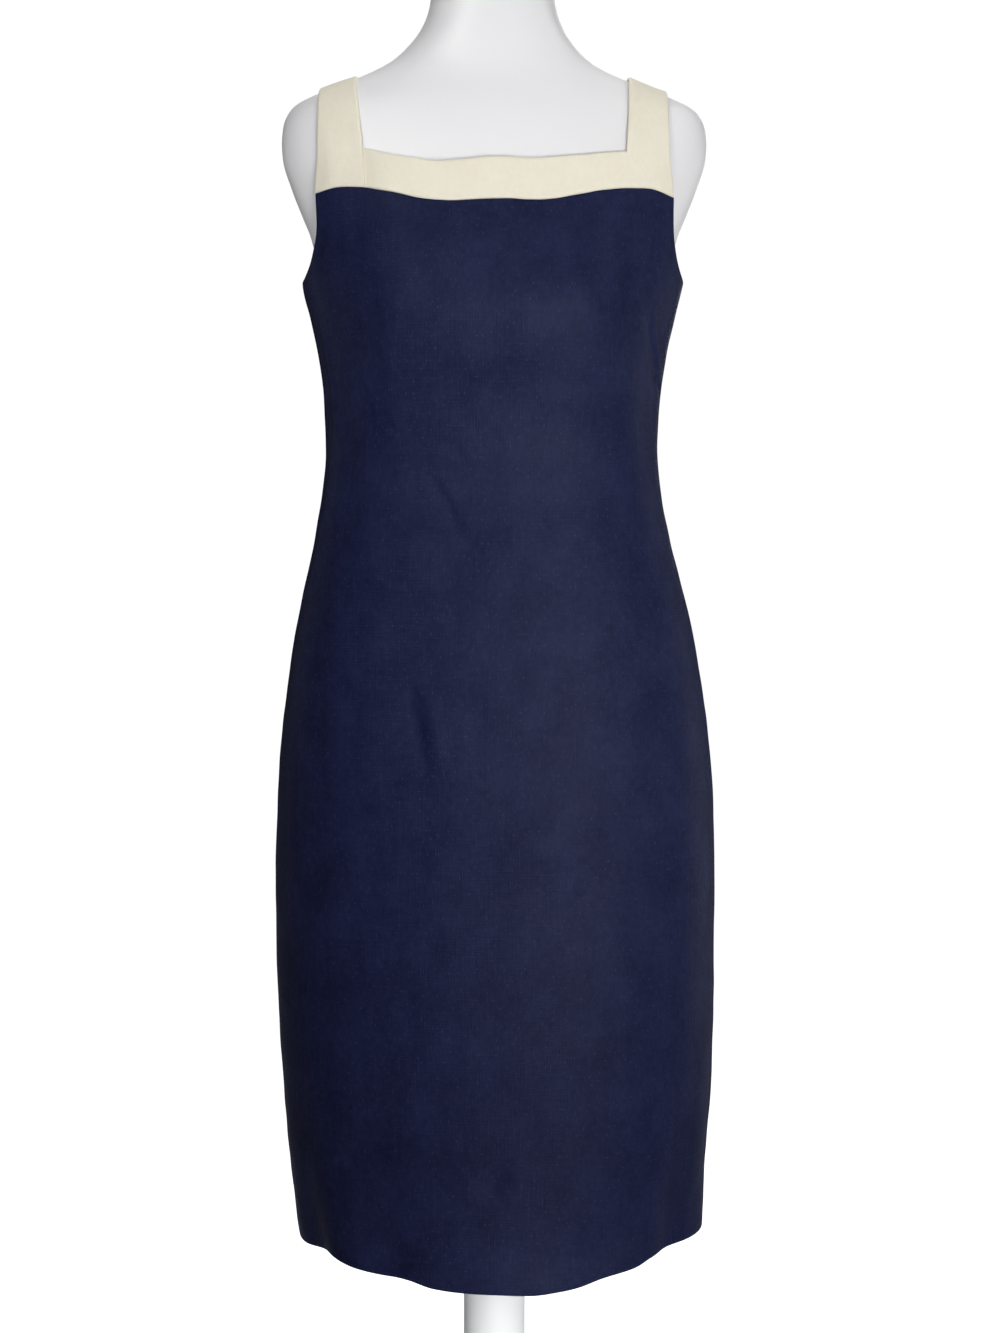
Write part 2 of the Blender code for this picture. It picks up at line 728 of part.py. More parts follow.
def boolean(target, other, operation):
    modifier = target.modifiers.new(operation.lower(), "BOOLEAN")
    modifier.operation = operation
    modifier.object = other


def make_slider():
    """Plate and arch, drawn flat with +Y out and +Z up, then laid on the cloth."""
    seat, out, lean = slider_frame()
    window_length, window_height = ARCH_WINDOW
    plate = box((SLIDER_WIDTH, SLIDER_THICKNESS, SLIDER_LENGTH), (0.0, SLIDER_THICKNESS / 2, 0.0))
    arch_height = window_height + ARCH_WALL
    arch_middle = SLIDER_THICKNESS + arch_height / 2
    sunk = SLIDER_ROUNDING
    arch = box((ARCH_WIDTH, arch_height + sunk, ARCH_LENGTH), (0.0, arch_middle - sunk / 2, 0.0))
    window_middle = SLIDER_THICKNESS + window_height / 2
    window = box((2 * ARCH_WIDTH, window_height, window_length), (0.0, window_middle, 0.0))
    metal = material("dark_painted_zip_slider", (0.02, 0.024, 0.05), 0.35, 0.6)
    made = add_object("zip_slider", finish_mesh("zip_slider", plate), metal)
    arch_object = cutter("slider_arch", arch)
    window_object = cutter("slider_window", window)
    for piece in (made, arch_object, window_object):
        piece.location = seat
        piece.rotation_euler = (lean, 0.0, 0.0)
    rounding = made.modifiers.new("rounding", "BEVEL")
    rounding.width = SLIDER_ROUNDING
    rounding.segments = 2
    boolean(made, arch_object, "UNION")
    boolean(made, window_object, "DIFFERENCE")
    return seat + out * window_middle, lean


def make_pull(hinge, lean):
    """A flat tab with a window at its top, whose upper bar runs through the slider's arch."""
    window_width, window_length = PULL_WINDOW
    length = PULL_LENGTH + PULL_BAR / 2
    work = box((PULL_WIDTH, PULL_THICKNESS, length), (0.0, 0.0, PULL_BAR / 2 - length / 2))
    lower_edges = [
        edge for edge in work.edges
        if all(vert.co.z < -PULL_LENGTH / 2 for vert in edge.verts)
        and abs(edge.verts[0].co.x - edge.verts[1].co.x) < 1e-6
        and abs(edge.verts[0].co.y - edge.verts[1].co.y) > 1e-6
    ]
    bmesh.ops.bevel(
        work, geom=lower_edges, offset=PULL_WIDTH * 0.45, segments=5, profile=0.5, affect="EDGES", material=-1,
    )
    metal = material("dark_painted_zip_pull", (0.02, 0.024, 0.05), 0.35, 0.6)
    made = add_object("zip_pull", finish_mesh("zip_pull", work), metal)
    window_middle = -(PULL_BAR / 2 + window_length / 2)
    window = cutter(
        "pull_window", box((window_width, 4 * PULL_THICKNESS, window_length), (0.0, 0.0, window_middle)),
    )
    for piece in (made, window):
        piece.location = hinge
        piece.rotation_euler = (lean, 0.0, 0.0)
    boolean(made, window, "DIFFERENCE")


for leftover in list(bpy.data.objects):
    bpy.data.objects.remove(leftover, do_unlink=True)
parts = bpy.data.collections.new("sheath_dress_on_dress_form")
cutters = bpy.data.collections.new("cutters")
bpy.context.scene.collection.children.link(parts)
bpy.context.scene.collection.children.link(cutters)

make_front_panel()
for panel_side in ("left", "right"):
    make_back_panel(panel_side)
    make_back_band(panel_side)
    make_strap(panel_side)
make_front_band()
make_torso()
make_stand()
make_zip_tape()
make_pull(*make_slider())
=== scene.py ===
"""Sheath dress on a limbless dress form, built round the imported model: cloth, metal and painted shell.

Metres, +Z up. The front faces -Y, and "left" and "right" are a viewer's, so right is +X. Each sheet of cloth is
an even grid laid on its solid's own form, given creases and turned edges, and doubled into a thin slab.
"""

import math
from collections import namedtuple

import bmesh
import bpy
import numpy as np
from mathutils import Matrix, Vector, noise


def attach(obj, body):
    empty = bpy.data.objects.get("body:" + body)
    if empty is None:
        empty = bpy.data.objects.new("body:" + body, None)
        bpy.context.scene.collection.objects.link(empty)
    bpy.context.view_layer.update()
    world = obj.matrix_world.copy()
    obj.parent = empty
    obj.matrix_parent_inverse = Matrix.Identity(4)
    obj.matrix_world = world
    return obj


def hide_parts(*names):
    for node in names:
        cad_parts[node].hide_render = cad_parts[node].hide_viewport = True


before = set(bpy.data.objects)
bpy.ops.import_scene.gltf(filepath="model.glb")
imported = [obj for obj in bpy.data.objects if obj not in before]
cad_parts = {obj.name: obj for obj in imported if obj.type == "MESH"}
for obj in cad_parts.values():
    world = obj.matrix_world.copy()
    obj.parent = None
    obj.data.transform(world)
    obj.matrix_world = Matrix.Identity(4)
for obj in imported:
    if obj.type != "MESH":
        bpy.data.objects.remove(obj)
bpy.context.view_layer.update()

# Driving dimensions: the cloth's thickness, the gaps at seams, the main levels, and the slit at the middle of the back
NAVY_CLOTH = 0.0014
CREAM_CLOTH = 0.0018
SEAM_GAP = 0.0003
SEWN_GAP = 0.00006
UNDERARM = 1.2525
HEM = 0.430
HEM_BLEND = 0.180
SLIT_LENGTH = 0.160
SLIT_HALF_OPENING = 0.0035

# The stand, and the range that holds the form's shoulder line
POLE_RADIUS = 0.0265
BASE_RADIUS = 0.190
BASE_THICKNESS = 0.008
EDGE_BREAK = 0.002
FLANGE_RADIUS = 0.060
FLANGE_THICKNESS = 0.012
FLANGE_BREAK = 0.003
COLLAR_TOP = 0.040
COLLAR_TOP_RADIUS = 0.034
COLLAR_FOOT_RADIUS = 0.046
SHOULDER_HEIGHTS = (1.38, 1.47)

# How square the outlines are from above: 2 is an ellipse, and more is squarer.
DRESS_ROUNDNESS = 2.3
FORM_ROUNDNESS = 2.2

# The dress, level by level: half its width to each side, and its depth to the front and to the back.
Section = namedtuple("Section", "height left right front back")
DRESS_SECTIONS = (
    Section(0.4300, 0.1685, 0.1792, 0.1300, 0.1270),
    Section(0.4800, 0.1750, 0.1813, 0.1280, 0.1275),
    Section(0.5500, 0.1808, 0.1866, 0.1255, 0.1290),
    Section(0.6200, 0.1855, 0.1892, 0.1235, 0.1310),
    Section(0.6900, 0.1880, 0.1899, 0.1215, 0.1335),
    Section(0.7600, 0.1887, 0.1899, 0.1185, 0.1375),
    Section(0.8290, 0.1855, 0.1872, 0.1145, 0.1415),
    Section(0.8800, 0.1813, 0.1826, 0.1115, 0.1400),
    Section(0.9330, 0.1744, 0.1747, 0.1075, 0.1300),
    Section(0.9840, 0.1648, 0.1641, 0.1045, 0.1130),
    Section(1.0360, 0.1539, 0.1508, 0.0995, 0.0965),
    Section(1.0700, 0.1481, 0.1436, 0.0955, 0.0895),
    Section(1.1130, 0.1442, 0.1395, 0.0930, 0.0850),
    Section(1.1550, 0.1452, 0.1415, 0.0960, 0.0850),
    Section(1.1900, 0.1497, 0.1464, 0.1020, 0.0880),
    Section(1.2235, 0.1563, 0.1543, 0.1055, 0.0920),
    Section(1.2525, 0.1631, 0.1608, 0.1040, 0.0950),
    Section(1.2900, 0.1655, 0.1674, 0.0975, 0.0980),
    Section(1.3240, 0.1714, 0.1728, 0.0910, 0.0965),
    Section(1.3550, 0.1770, 0.1776, 0.0845, 0.0925),
    Section(1.3950, 0.1820, 0.1818, 0.0760, 0.0870),
)


def even(height, half_width, front, back):
    """A section with the same width on both sides."""
    return Section(height, half_width, half_width, front, back)


# The dress form, on the same plan.
FORM_SECTIONS = (
    even(0.7700, 0.1450, 0.0860, 0.1080),
    even(0.7760, 0.1560, 0.0930, 0.1170),
    even(0.7950, 0.1680, 0.1010, 0.1280),
    even(0.8290, 0.1740, 0.1050, 0.1335),
    even(0.8800, 0.1735, 0.1040, 0.1330),
    even(0.9330, 0.1670, 0.1005, 0.1235),
    even(0.9840, 0.1575, 0.0975, 0.1070),
    even(1.0360, 0.1455, 0.0925, 0.0905),
    even(1.0700, 0.1385, 0.0885, 0.0835),
    even(1.1130, 0.1350, 0.0865, 0.0790),
    even(1.1550, 0.1370, 0.0895, 0.0790),
    even(1.1900, 0.1410, 0.0955, 0.0820),
    even(1.2235, 0.1450, 0.0985, 0.0860),
    even(1.2525, 0.1475, 0.0970, 0.0890),
    even(1.2915, 0.1558, 0.0905, 0.0915),
    even(1.3084, 0.1625, 0.0880, 0.0915),
    even(1.3321, 0.1718, 0.0830, 0.0900),
    even(1.3591, 0.1798, 0.0765, 0.0865),
    even(1.3726, 0.1806, 0.0725, 0.0840),
    even(1.3861, 0.1793, 0.0680, 0.0805),
    even(1.3996, 0.1732, 0.0630, 0.0755),
    even(1.4060, 0.1650, 0.0600, 0.0725),
    even(1.4140, 0.1470, 0.0560, 0.0685),
    even(1.4296, 0.1075, 0.0510, 0.0640),
    even(1.4392, 0.0890, 0.0495, 0.0615),
    even(1.4535, 0.0727, 0.0485, 0.0590),
    even(1.4669, 0.0625, 0.0478, 0.0568),
    even(1.4803, 0.0565, 0.0472, 0.0550),
    even(1.4937, 0.0538, 0.0468, 0.0540),
    even(1.5360, 0.0530, 0.0462, 0.0530),
    even(1.5450, 0.0490, 0.0422, 0.0490),
)

# The bust: two wide rounds joined across the middle, alike on the form and the dress, and how deep each one is.
BUST_HEIGHT = 1.228
BUST_OUT = 0.072
BUST_SPREAD = 0.050
BUST_ABOVE = 0.060
BUST_BELOW = 0.090
BUST_DIP = 0.10
DRESS_BUST = 0.0235
FORM_BUST = 0.0215

# Height of the hem round the dress, from the middle of the back over the left side, the front and the right side.
HemPoint = namedtuple("HemPoint", "degrees height")
HEM_LINE = (
    HemPoint(-180, 0.4400),
    HemPoint(-90, 0.4374),
    HemPoint(-71, 0.4377),
    HemPoint(-57, 0.4389),
    HemPoint(-40, 0.4334),
    HemPoint(-30, 0.4299),
    HemPoint(-22, 0.4289),
    HemPoint(-14, 0.4240),
    HemPoint(-5, 0.4216),
    HemPoint(0, 0.4210),
    HemPoint(8, 0.4198),
    HemPoint(14, 0.4215),
    HemPoint(20, 0.4238),
    HemPoint(28, 0.4294),
    HemPoint(38, 0.4352),
    HemPoint(44, 0.4400),
    HemPoint(50, 0.4418),
    HemPoint(57, 0.4440),
    HemPoint(70, 0.4463),
    HemPoint(90, 0.4480),
    HemPoint(180, 0.4400),
)

# Soft folds that run up from the hem: where round the dress, how wide, how deep, and how far up.
Fold = namedtuple("Fold", "degrees spread depth reach")
HEM_FOLDS = (
    Fold(-62, 9.0, 0.0075, 0.22),
    Fold(-29, 8.0, 0.0065, 0.20),
    Fold(2, 9.0, -0.0025, 0.16),
    Fold(27, 8.0, 0.0030, 0.14),
    Fold(55, 9.0, 0.0080, 0.24),
    Fold(78, 8.0, -0.0015, 0.18),
    Fold(118, 10.0, 0.0060, 0.20),
    Fold(150, 9.0, 0.0045, 0.16),
    Fold(-115, 10.0, 0.0065, 0.22),
    Fold(-146, 9.0, 0.0050, 0.18),
)

# Where the side seams run, in degrees from the middle of the front.
SideSeam = namedtuple("SideSeam", "height left right")
SIDE_SEAMS = (
    SideSeam(0.430, 87.0, 79.0),
    SideSeam(0.900, 87.0, 78.5),
    SideSeam(1.080, 88.0, 84.0),
    SideSeam(1.180, 89.0, 88.5),
    SideSeam(UNDERARM, 90.0, 90.0),
)

# The armhole's edge above the underarm: its distance out, as a share of the half-width there.
Armhole = namedtuple("Armhole", "height front back")
ARMHOLE = (
    Armhole(UNDERARM, 1.000, 1.000),
    Armhole(1.2560, 0.978, 0.983),
    Armhole(1.2630, 0.951, 0.960),
    Armhole(1.2740, 0.924, 0.935),
    Armhole(1.2900, 0.897, 0.910),
    Armhole(1.3240, 0.868, 0.870),
    Armhole(1.3950, 0.815, 0.815),
)

# The seam between navy and cream, and the neckline above the band, by distance from the middle.
Line = namedtuple("Line", "out front_seam front_neck back_seam back_neck")
BAND_LINES = (
    Line(-0.150, 1.3222, 1.3600, 1.3215, 1.3600),
    Line(-0.128, 1.3255, 1.3598, 1.3230, 1.3590),
    Line(-0.108, 1.3240, 1.3578, 1.3225, 1.3570),
    Line(-0.093, 1.3208, 1.3535, 1.3215, 1.3550),
    Line(-0.081, 1.3182, 1.3500, 1.3206, 1.3541),
    Line(-0.062, 1.3132, 1.3466, 1.3193, 1.3530),
    Line(-0.045, 1.3110, 1.3438, 1.3185, 1.3525),
    Line(-0.033, 1.3104, 1.3446, 1.3183, 1.3523),
    Line(-0.020, 1.3110, 1.3456, 1.3181, 1.3521),
    Line(0.000, 1.3120, 1.3476, 1.3180, 1.3520),
    Line(0.012, 1.3122, 1.3478, 1.3180, 1.3520),
    Line(0.026, 1.3112, 1.3460, 1.3182, 1.3522),
    Line(0.036, 1.3111, 1.3461, 1.3183, 1.3524),
    Line(0.050, 1.3123, 1.3475, 1.3187, 1.3526),
    Line(0.064, 1.3152, 1.3490, 1.3195, 1.3531),
    Line(0.076, 1.3177, 1.3500, 1.3202, 1.3538),
    Line(0.086, 1.3200, 1.3517, 1.3210, 1.3545),
    Line(0.095, 1.3214, 1.3529, 1.3216, 1.3552),
    Line(0.105, 1.3229, 1.3542, 1.3223, 1.3566),
    Line(0.115, 1.3236, 1.3560, 1.3227, 1.3577),
    Line(0.128, 1.3242, 1.3590, 1.3230, 1.3590),
    Line(0.150, 1.3190, 1.3600, 1.3215, 1.3600),
)

# The straps' edges, by share of the rise from the seam to the top of the shoulder.
StrapEdge = namedtuple("StrapEdge", "rise left_inner left_outer right_inner right_outer")
FRONT_STRAP = (
    StrapEdge(0.00, 0.1060, 0.1498, 0.1190, 0.1500),
    StrapEdge(0.12, 0.1070, 0.1492, 0.1142, 0.1494),
    StrapEdge(0.30, 0.1085, 0.1476, 0.1096, 0.1468),
    StrapEdge(0.60, 0.1116, 0.1474, 0.1111, 0.1458),
    StrapEdge(0.85, 0.1145, 0.1474, 0.1122, 0.1458),
    StrapEdge(1.00, 0.1160, 0.1468, 0.1135, 0.1456),
)
BACK_STRAP = (
    StrapEdge(0.00, 0.1090, 0.1486, 0.1090, 0.1490),
    StrapEdge(0.30, 0.1090, 0.1482, 0.1090, 0.1480),
    StrapEdge(0.60, 0.1116, 0.1478, 0.1111, 0.1466),
    StrapEdge(1.00, 0.1160, 0.1468, 0.1135, 0.1456),
)
# How far up the straps the neckline's corners lie, as a share of the rise, and how far their outer edges stand off.
NECK_CORNER_RISE = 0.30
STRAP_STANDS_OFF = 0.0012
# Between these heights band and straps pass from the dress's surface to the form's.
DRESS_TO_FORM = (1.335, 1.395)
# The cloth's outer side faces away from the upright axis, and above this height away from the axis's point there.
HEART_HEIGHT = 1.25

# How the photograph's frame and the camera stand to the dress.
PHOTO_HEIGHT_PIXELS = 1333
FOCAL_PIXELS = 2267.0
CAMERA_PLACE = (0.005, -1.950, 1.019)
CAMERA_TILT = 2.70
SENSOR = 36.0

# Creases of the worn cloth: where each starts and ends, in degrees round from the middle of the front and in
# height, how wide it is, and how far it stands out of the cloth. A groove has a negative rise.
Crease = namedtuple("Crease", "turn height end_turn end_height width rise")
CREASES = (
    # The drag line under the bust, to the left of the middle
    Crease(-30.0, 1.090, -11.0, 1.028, 0.0045, -0.0017),
    Crease(-27.0, 1.094, -9.0, 1.036, 0.0060, 0.0013),
    Crease(-22.0, 1.118, -14.0, 1.094, 0.0050, -0.0008),
    # The roll above the bust, where the cloth hangs from the band
    Crease(-54.0, 1.282, -2.0, 1.284, 0.0180, 0.0026),
    Crease(4.0, 1.286, 46.0, 1.276, 0.0180, 0.0024),
    # The soft break over the left hip
    Crease(-35.0, 0.925, -25.5, 0.840, 0.0050, -0.0020),
    Crease(-27.0, 0.918, -22.0, 0.850, 0.0080, 0.0020),
    Crease(-44.0, 0.870, -33.0, 0.800, 0.0070, -0.0006),
    # The wide pale roll across the thighs, and the shallow dip under it
    Crease(-6.0, 0.790, 54.0, 0.776, 0.0140, 0.0016),
    Crease(-22.0, 0.745, 40.0, 0.738, 0.0160, -0.0012),
    Crease(-50.0, 0.700, -14.0, 0.722, 0.0150, 0.0007),
    # The tuck along the right side seam, which ends in a small nick at the edge
    Crease(58.0, 1.222, 75.0, 1.163, 0.0022, -0.0017),
    Crease(61.5, 1.222, 78.0, 1.166, 0.0030, 0.0023),
    Crease(72.0, 1.172, 84.0, 1.158, 0.0024, -0.0025),
    Crease(66.0, 1.160, 70.0, 1.090, 0.0090, -0.0012),
    # Soft uprights inside the left edge
    Crease(-71.0, 1.225, -71.0, 1.120, 0.0050, 0.0016),
    Crease(-63.0, 1.150, -61.0, 1.020, 0.0100, -0.0016),
    Crease(-75.0, 1.110, -76.0, 0.990, 0.0060, 0.0012),
    # Dents near the hem
    Crease(-5.0, 0.520, 4.0, 0.508, 0.0150, -0.0020),
    Crease(38.0, 0.480, 48.0, 0.452, 0.0120, -0.0018),
    Crease(-38.0, 0.456, -29.0, 0.438, 0.0110, -0.0014),
    # Hidden sides: pulls over the back of the waist, from the hips, and behind each armhole
    Crease(128.0, 1.118, 172.0, 1.104, 0.0070, -0.0012),
    Crease(-126.0, 1.112, -170.0, 1.100, 0.0070, -0.0012),
    Crease(134.0, 1.096, 170.0, 1.076, 0.0090, 0.0011),
    Crease(-136.0, 1.092, -172.0, 1.078, 0.0090, 0.0011),
    Crease(112.0, 0.975, 146.0, 0.925, 0.0090, -0.0010),
    Crease(-110.0, 0.980, -142.0, 0.918, 0.0090, -0.0010),
    Crease(118.0, 0.770, 165.0, 0.750, 0.0150, 0.0012),
    Crease(-160.0, 0.700, -112.0, 0.722, 0.0150, 0.0011),
    Crease(104.0, 1.230, 124.0, 1.170, 0.0060, -0.0009),
    Crease(-104.0, 1.232, -122.0, 1.176, 0.0060, -0.0009),
    Crease(152.0, 0.540, 161.0, 0.500, 0.0140, -0.0016),
    Crease(-128.0, 0.520, -120.0, 0.478, 0.0130, -0.0016),
)

# How fine the grids are: rows this far in from each edge, and even ones between. A navy panel has so many for each
# row of its solid, which is about this long at the hem and at the top.
EDGE_STEPS = (0.0, 0.0003, 0.0007, 0.0013, 0.0021)
FINE_ROWS = 9
LOW_ROW = 0.0283
HIGH_ROW = 0.018

# How the edges turn: how far in the roll starts, and how far each kind of edge drops.
EDGE_REACH = 0.0020
NAVY_EDGE_DROP = 0.0007
CREAM_EDGE_DROP = 0.0010
SEWN_DROP = 0.0002
# The straps' inner edges are sewn to the bands this far up, and then come free.
STRAP_SEWN = 0.033
SEWN_FADE = 0.003
# The edges that lie pressed on the form are thicker by this much, and this far in no thicker.
PRESS = 0.0007
PRESS_REACH = 0.005
# The hem is turned up this far, is doubled by this much, and steps down to the single cloth over this length.
HEM_TURN_UP = 0.038
HEM_DOUBLE = 0.0012
HEM_STEP = 0.0030

# Soft rises of the cream pieces: how far from an edge the middle lies, how wide, and how high. A dip is negative.
Swell = namedtuple("Swell", "middle spread rise")
BAND_LEFT_END = Swell(0.0, 0.014, 1.0)
BAND_RIGHT_END = Swell(0.0, 0.020, 1.0)
LEFT_SEAM_DIP = Swell(0.0, 0.009, -0.0013)
STRAP_RIDGE = Swell(0.030, 0.009, 0.0011)
STRAP_HOLLOW = Swell(0.009, 0.008, -0.0005)
STRAP_FOOT = Swell(0.026, 0.034, 1.0)
RIGHT_STRAP_EDGE = Swell(0.0, 0.012, 0.0016)
# The front band stands off by this much between its ends. The right strap's inner edge starts to stand off this far
# from its seams, and does so in full over the next length.
BAND_STANDS_OFF = 0.0009
STRAP_FREE_FROM = 0.030
STRAP_FREE_FADE = 0.02

# The right shoulder's drop and the neck's lean, and the ranges out and up in which each comes in.
SHOULDER_DROP = 0.0036
SHOULDER_OUT = (0.02, 0.09)
SHOULDER_UP = (1.345, 1.415)
SHOULDER_END = (1.450, 1.490)
NECK_LEAN = 0.0024
NECK_OUT = (0.0, 0.03)
NECK_UP = (1.420, 1.450)

# Which way is out on each side, how near points are merged, and the share of the rise that counts as a strap's top.
SIGN = {"left": -1, "right": 1}
MERGE = 1e-6
STRAP_TOP = 1 - 1e-9


class Curve:
    """A smooth line through known values, which never swings past them."""

    def __init__(self, places, values):
        self.places = list(places)
        self.values = list(values)
        spans = [b - a for a, b in zip(self.places, self.places[1:])]
        rises = [(b - a) / span for a, b, span in zip(self.values, self.values[1:], spans)]
        inner = [0.0 if a * b <= 0 else 2 * a * b / (a + b) for a, b in zip(rises, rises[1:])]
        self.slopes = [rises[0], *inner, rises[-1]]

    def __call__(self, place):
        places = self.places
        place = min(max(place, places[0]), places[-1])
        index = 0
        while index < len(places) - 2 and place > places[index + 1]:
            index += 1
        span = places[index + 1] - places[index]
        t = (place - places[index]) / span
        start, end = self.values[index], self.values[index + 1]
        away, into = self.slopes[index] * span, self.slopes[index + 1] * span
        return (
            start * (1 + 2 * t) * (1 - t) ** 2
            + away * t * (1 - t) ** 2
            + end * t * t * (3 - 2 * t)
            - into * t * t * (1 - t)
        )


def curves(rows):
    """One smooth curve for each column of a table, over its first column."""
    places = [row[0] for row in rows]
    names = rows[0]._fields[1:]
    return {name: Curve(places, [getattr(row, name) for row in rows]) for name in names}


dress = curves(DRESS_SECTIONS)
form = curves(FORM_SECTIONS)
hem_line = curves(HEM_LINE)["height"]
side_seams = curves(SIDE_SEAMS)
armhole = curves(ARMHOLE)
band_lines = curves(BAND_LINES)
front_strap = curves(FRONT_STRAP)
back_strap = curves(BACK_STRAP)


def ease(low, high, value):
    """0 below low, 1 above high, and smooth between."""
    t = min(max((value - low) / (high - low), 0.0), 1.0)
    return t * t * (3 - 2 * t)


def bust(x, z):
    """How far the bust stands out, from 0 to 1."""
    out = abs(x)
    if out < BUST_OUT:
        across = 1 - BUST_DIP * (1 - out / BUST_OUT) ** 2
    else:
        across = math.exp(-(((out - BUST_OUT) / BUST_SPREAD) ** 2))
    reach = BUST_ABOVE if z > BUST_HEIGHT else BUST_BELOW
    return across * math.exp(-(((z - BUST_HEIGHT) / reach) ** 2))


def side_of(x):
    return "left" if x < 0 else "right"


def depth_at(sections, roundness, x, z, back, bust_depth, off=0.0):
    """Y of a body's surface over a place x, z: its front, or its back. off lifts the surface off the body."""
    half_width = sections[side_of(x)](z - off) + off
    depth = sections["back" if back else "front"](z - off) + off
    y = depth * max(0.0, 1 - abs(x / half_width) ** roundness) ** (1 / roundness)
    return y if back else -y - bust_depth * bust(x, z)


def hem_fold(degrees, z):
    """How far the hem's folds draw the cloth in."""
    depth = 0.0
    for fold in HEM_FOLDS:
        up = max(0.0, 1 - (z - HEM) / fold.reach)
        turn = (degrees - fold.degrees) / fold.spread
        depth += fold.depth * up * up * math.exp(-turn * turn)
    return depth


def ring_point(sections, roundness, bust_depth, degrees, z):
    """A point of a body by its turn from the middle of the front and its height."""
    turn = math.radians(degrees)
    across, ahead = math.sin(turn), math.cos(turn)
    power = 2 / roundness
    x = sections[side_of(across)](z) * math.copysign(abs(across) ** power, across)
    y = -sections["front" if ahead > 0 else "back"](z) * math.copysign(abs(ahead) ** power, ahead)
    if ahead > 0:
        y -= bust_depth * bust(x, z)
    return Vector((x, y, z))


def dress_point(degrees, z):
    """A point of the dress below the band."""
    spot = ring_point(dress, DRESS_ROUNDNESS, DRESS_BUST, degrees, z)
    inwards = 1 - hem_fold(degrees, z) / math.hypot(spot.x, spot.y)
    return Vector((spot.x * inwards, spot.y * inwards, z))


def turn_at(share):
    """The turn in degrees, from the middle, where the dress reaches this share of its half-width."""
    return math.degrees(math.asin(min(1.0, share) ** (DRESS_ROUNDNESS / 2)))


def seam_turn(side, back, z):
    """Turn of a panel's outer edge from its own middle: the side seam, then the armhole above it."""
    if z <= UNDERARM:
        turn = side_seams[side](z)
        return 180 - turn if back else turn
    return turn_at(armhole["back" if back else "front"](z))


def levels(bottom, top, count):
    return [bottom + (top - bottom) * step / count for step in range(count + 1)]


# The panels' rows: heights up to the underarm, then shares of the rise from there to the seam with the band.
THIGH = 0.60
BELOW_WAIST = 1.00
BODY_ROWS = levels(HEM, THIGH, 6) + levels(THIGH, BELOW_WAIST, 9)[1:] + levels(BELOW_WAIST, UNDERARM, 9)[1:]
UPPER_SHARES = (0.0, 0.10, 0.26, 0.48, 0.74, 1.0)
PANEL_ROWS = len(BODY_ROWS) + len(UPPER_SHARES) - 2
ZIP_BOTTOM_ROW = 12
# The seam's height at a point depends on how far out the point is, so it is found in a few rounds from this guess.
SEAM_GUESS = 0.12
SEAM_ROUNDS = 6
SHOULDER_ROUNDS = 30


def between(values, row):
    """A list's value at a row, also between two rows."""
    below = min(int(row), len(values) - 2)
    return values[below] + (values[below + 1] - values[below]) * (row - below)


def seam_height(back, x):
    """Height of the seam between the navy panels and the cream pieces."""
    return band_lines["back_seam" if back else "front_seam"](x)


def panel_point(side, back, middle_turn, across, row):
    """A point of a navy panel: across runs from 0 at its middle edge to 1 at its outer edge."""

    def turned_point(z):
        start = middle_turn(z)
        edge = seam_turn(side, back, z) - math.degrees(SEAM_GAP / 2 / dress[side](z))
        turn = start + (edge - start) * across
        degrees = SIGN[side] * ((180 - turn) if back else turn)
        return degrees, dress_point(degrees, z)

    above = row - (len(BODY_ROWS) - 1)
    if above <= 0:
        z = between(BODY_ROWS, row)
        degrees, point = turned_point(z)
        point.z += (hem_line(degrees) - HEM) * (1 - ease(HEM, HEM + HEM_BLEND, z))
        return point
    top = seam_height(back, SEAM_GUESS)
    for _ in range(SEAM_ROUNDS):
        _, point = turned_point(UNDERARM + (top - UNDERARM) * between(UPPER_SHARES, above))
        top = seam_height(back, point.x) - SEAM_GAP / 2
    return point


def slit_turn(z):
    """Turn of a back panel's middle edge: half the seam's gap, and more where the slit parts."""
    half_width = dress["right"](z)
    parted = max(0.0, 1 - (z - HEM) / SLIT_LENGTH)
    return turn_at((SEAM_GAP / 2 + SLIT_HALF_OPENING * parted**1.5) / half_width)


def no_turn(_z):
    """The front panel has no seam down its middle."""
    return 0.0


def strap_table(back):
    return back_strap if back else front_strap


def shoulder_top(x, off):
    """Height of the form's shoulder line over x, lifted by off."""
    low, high = SHOULDER_HEIGHTS
    for _ in range(SHOULDER_ROUNDS):
        middle = (low + high) / 2
        if form["left"](middle - off) + off > abs(x):
            low = middle
        else:
            high = middle
    return low


def upper_depth(x, z, back, off):
    """Y of band and straps: the dress's surface low down, and the form's, lifted by off, on the shoulder."""
    on_dress = depth_at(dress, DRESS_ROUNDNESS, x, z, back, DRESS_BUST)
    on_form = depth_at(form, FORM_ROUNDNESS, x, z, back, FORM_BUST, off)
    share = ease(*DRESS_TO_FORM, z)
    return on_dress + (on_form - on_dress) * share


def strap_point(side, across, degrees):
    """A point of a strap: across runs from its inner to its outer edge, degrees from -90 at the front seam."""
    back = degrees > 0
    table = strap_table(back)
    rise = math.cos(math.radians(degrees))
    inner = table[side + "_inner"](rise) + SEWN_GAP / 2
    outer = table[side + "_outer"](rise)
    x = SIGN[side] * (inner + (outer - inner) * across)
    off = CREAM_CLOTH + STRAP_STANDS_OFF * across
    seam = seam_height(back, x) + SEAM_GAP / 2
    top = shoulder_top(x, off)
    z = seam + (top - seam) * rise
    y = 0.0 if rise > STRAP_TOP else upper_depth(x, z, back, off)
    return Vector((x, y, z))


def band_point(back, from_x, to_x, along, up):
    """A point of the band, between two edges given as functions of the share of its height."""
    x = from_x(up) + (to_x(up) - from_x(up)) * along
    low = seam_height(back, x) + SEAM_GAP / 2
    high = band_lines["back_neck" if back else "front_neck"](x)
    z = low + (high - low) * up
    return Vector((x, upper_depth(x, z, back, CREAM_CLOTH), z))


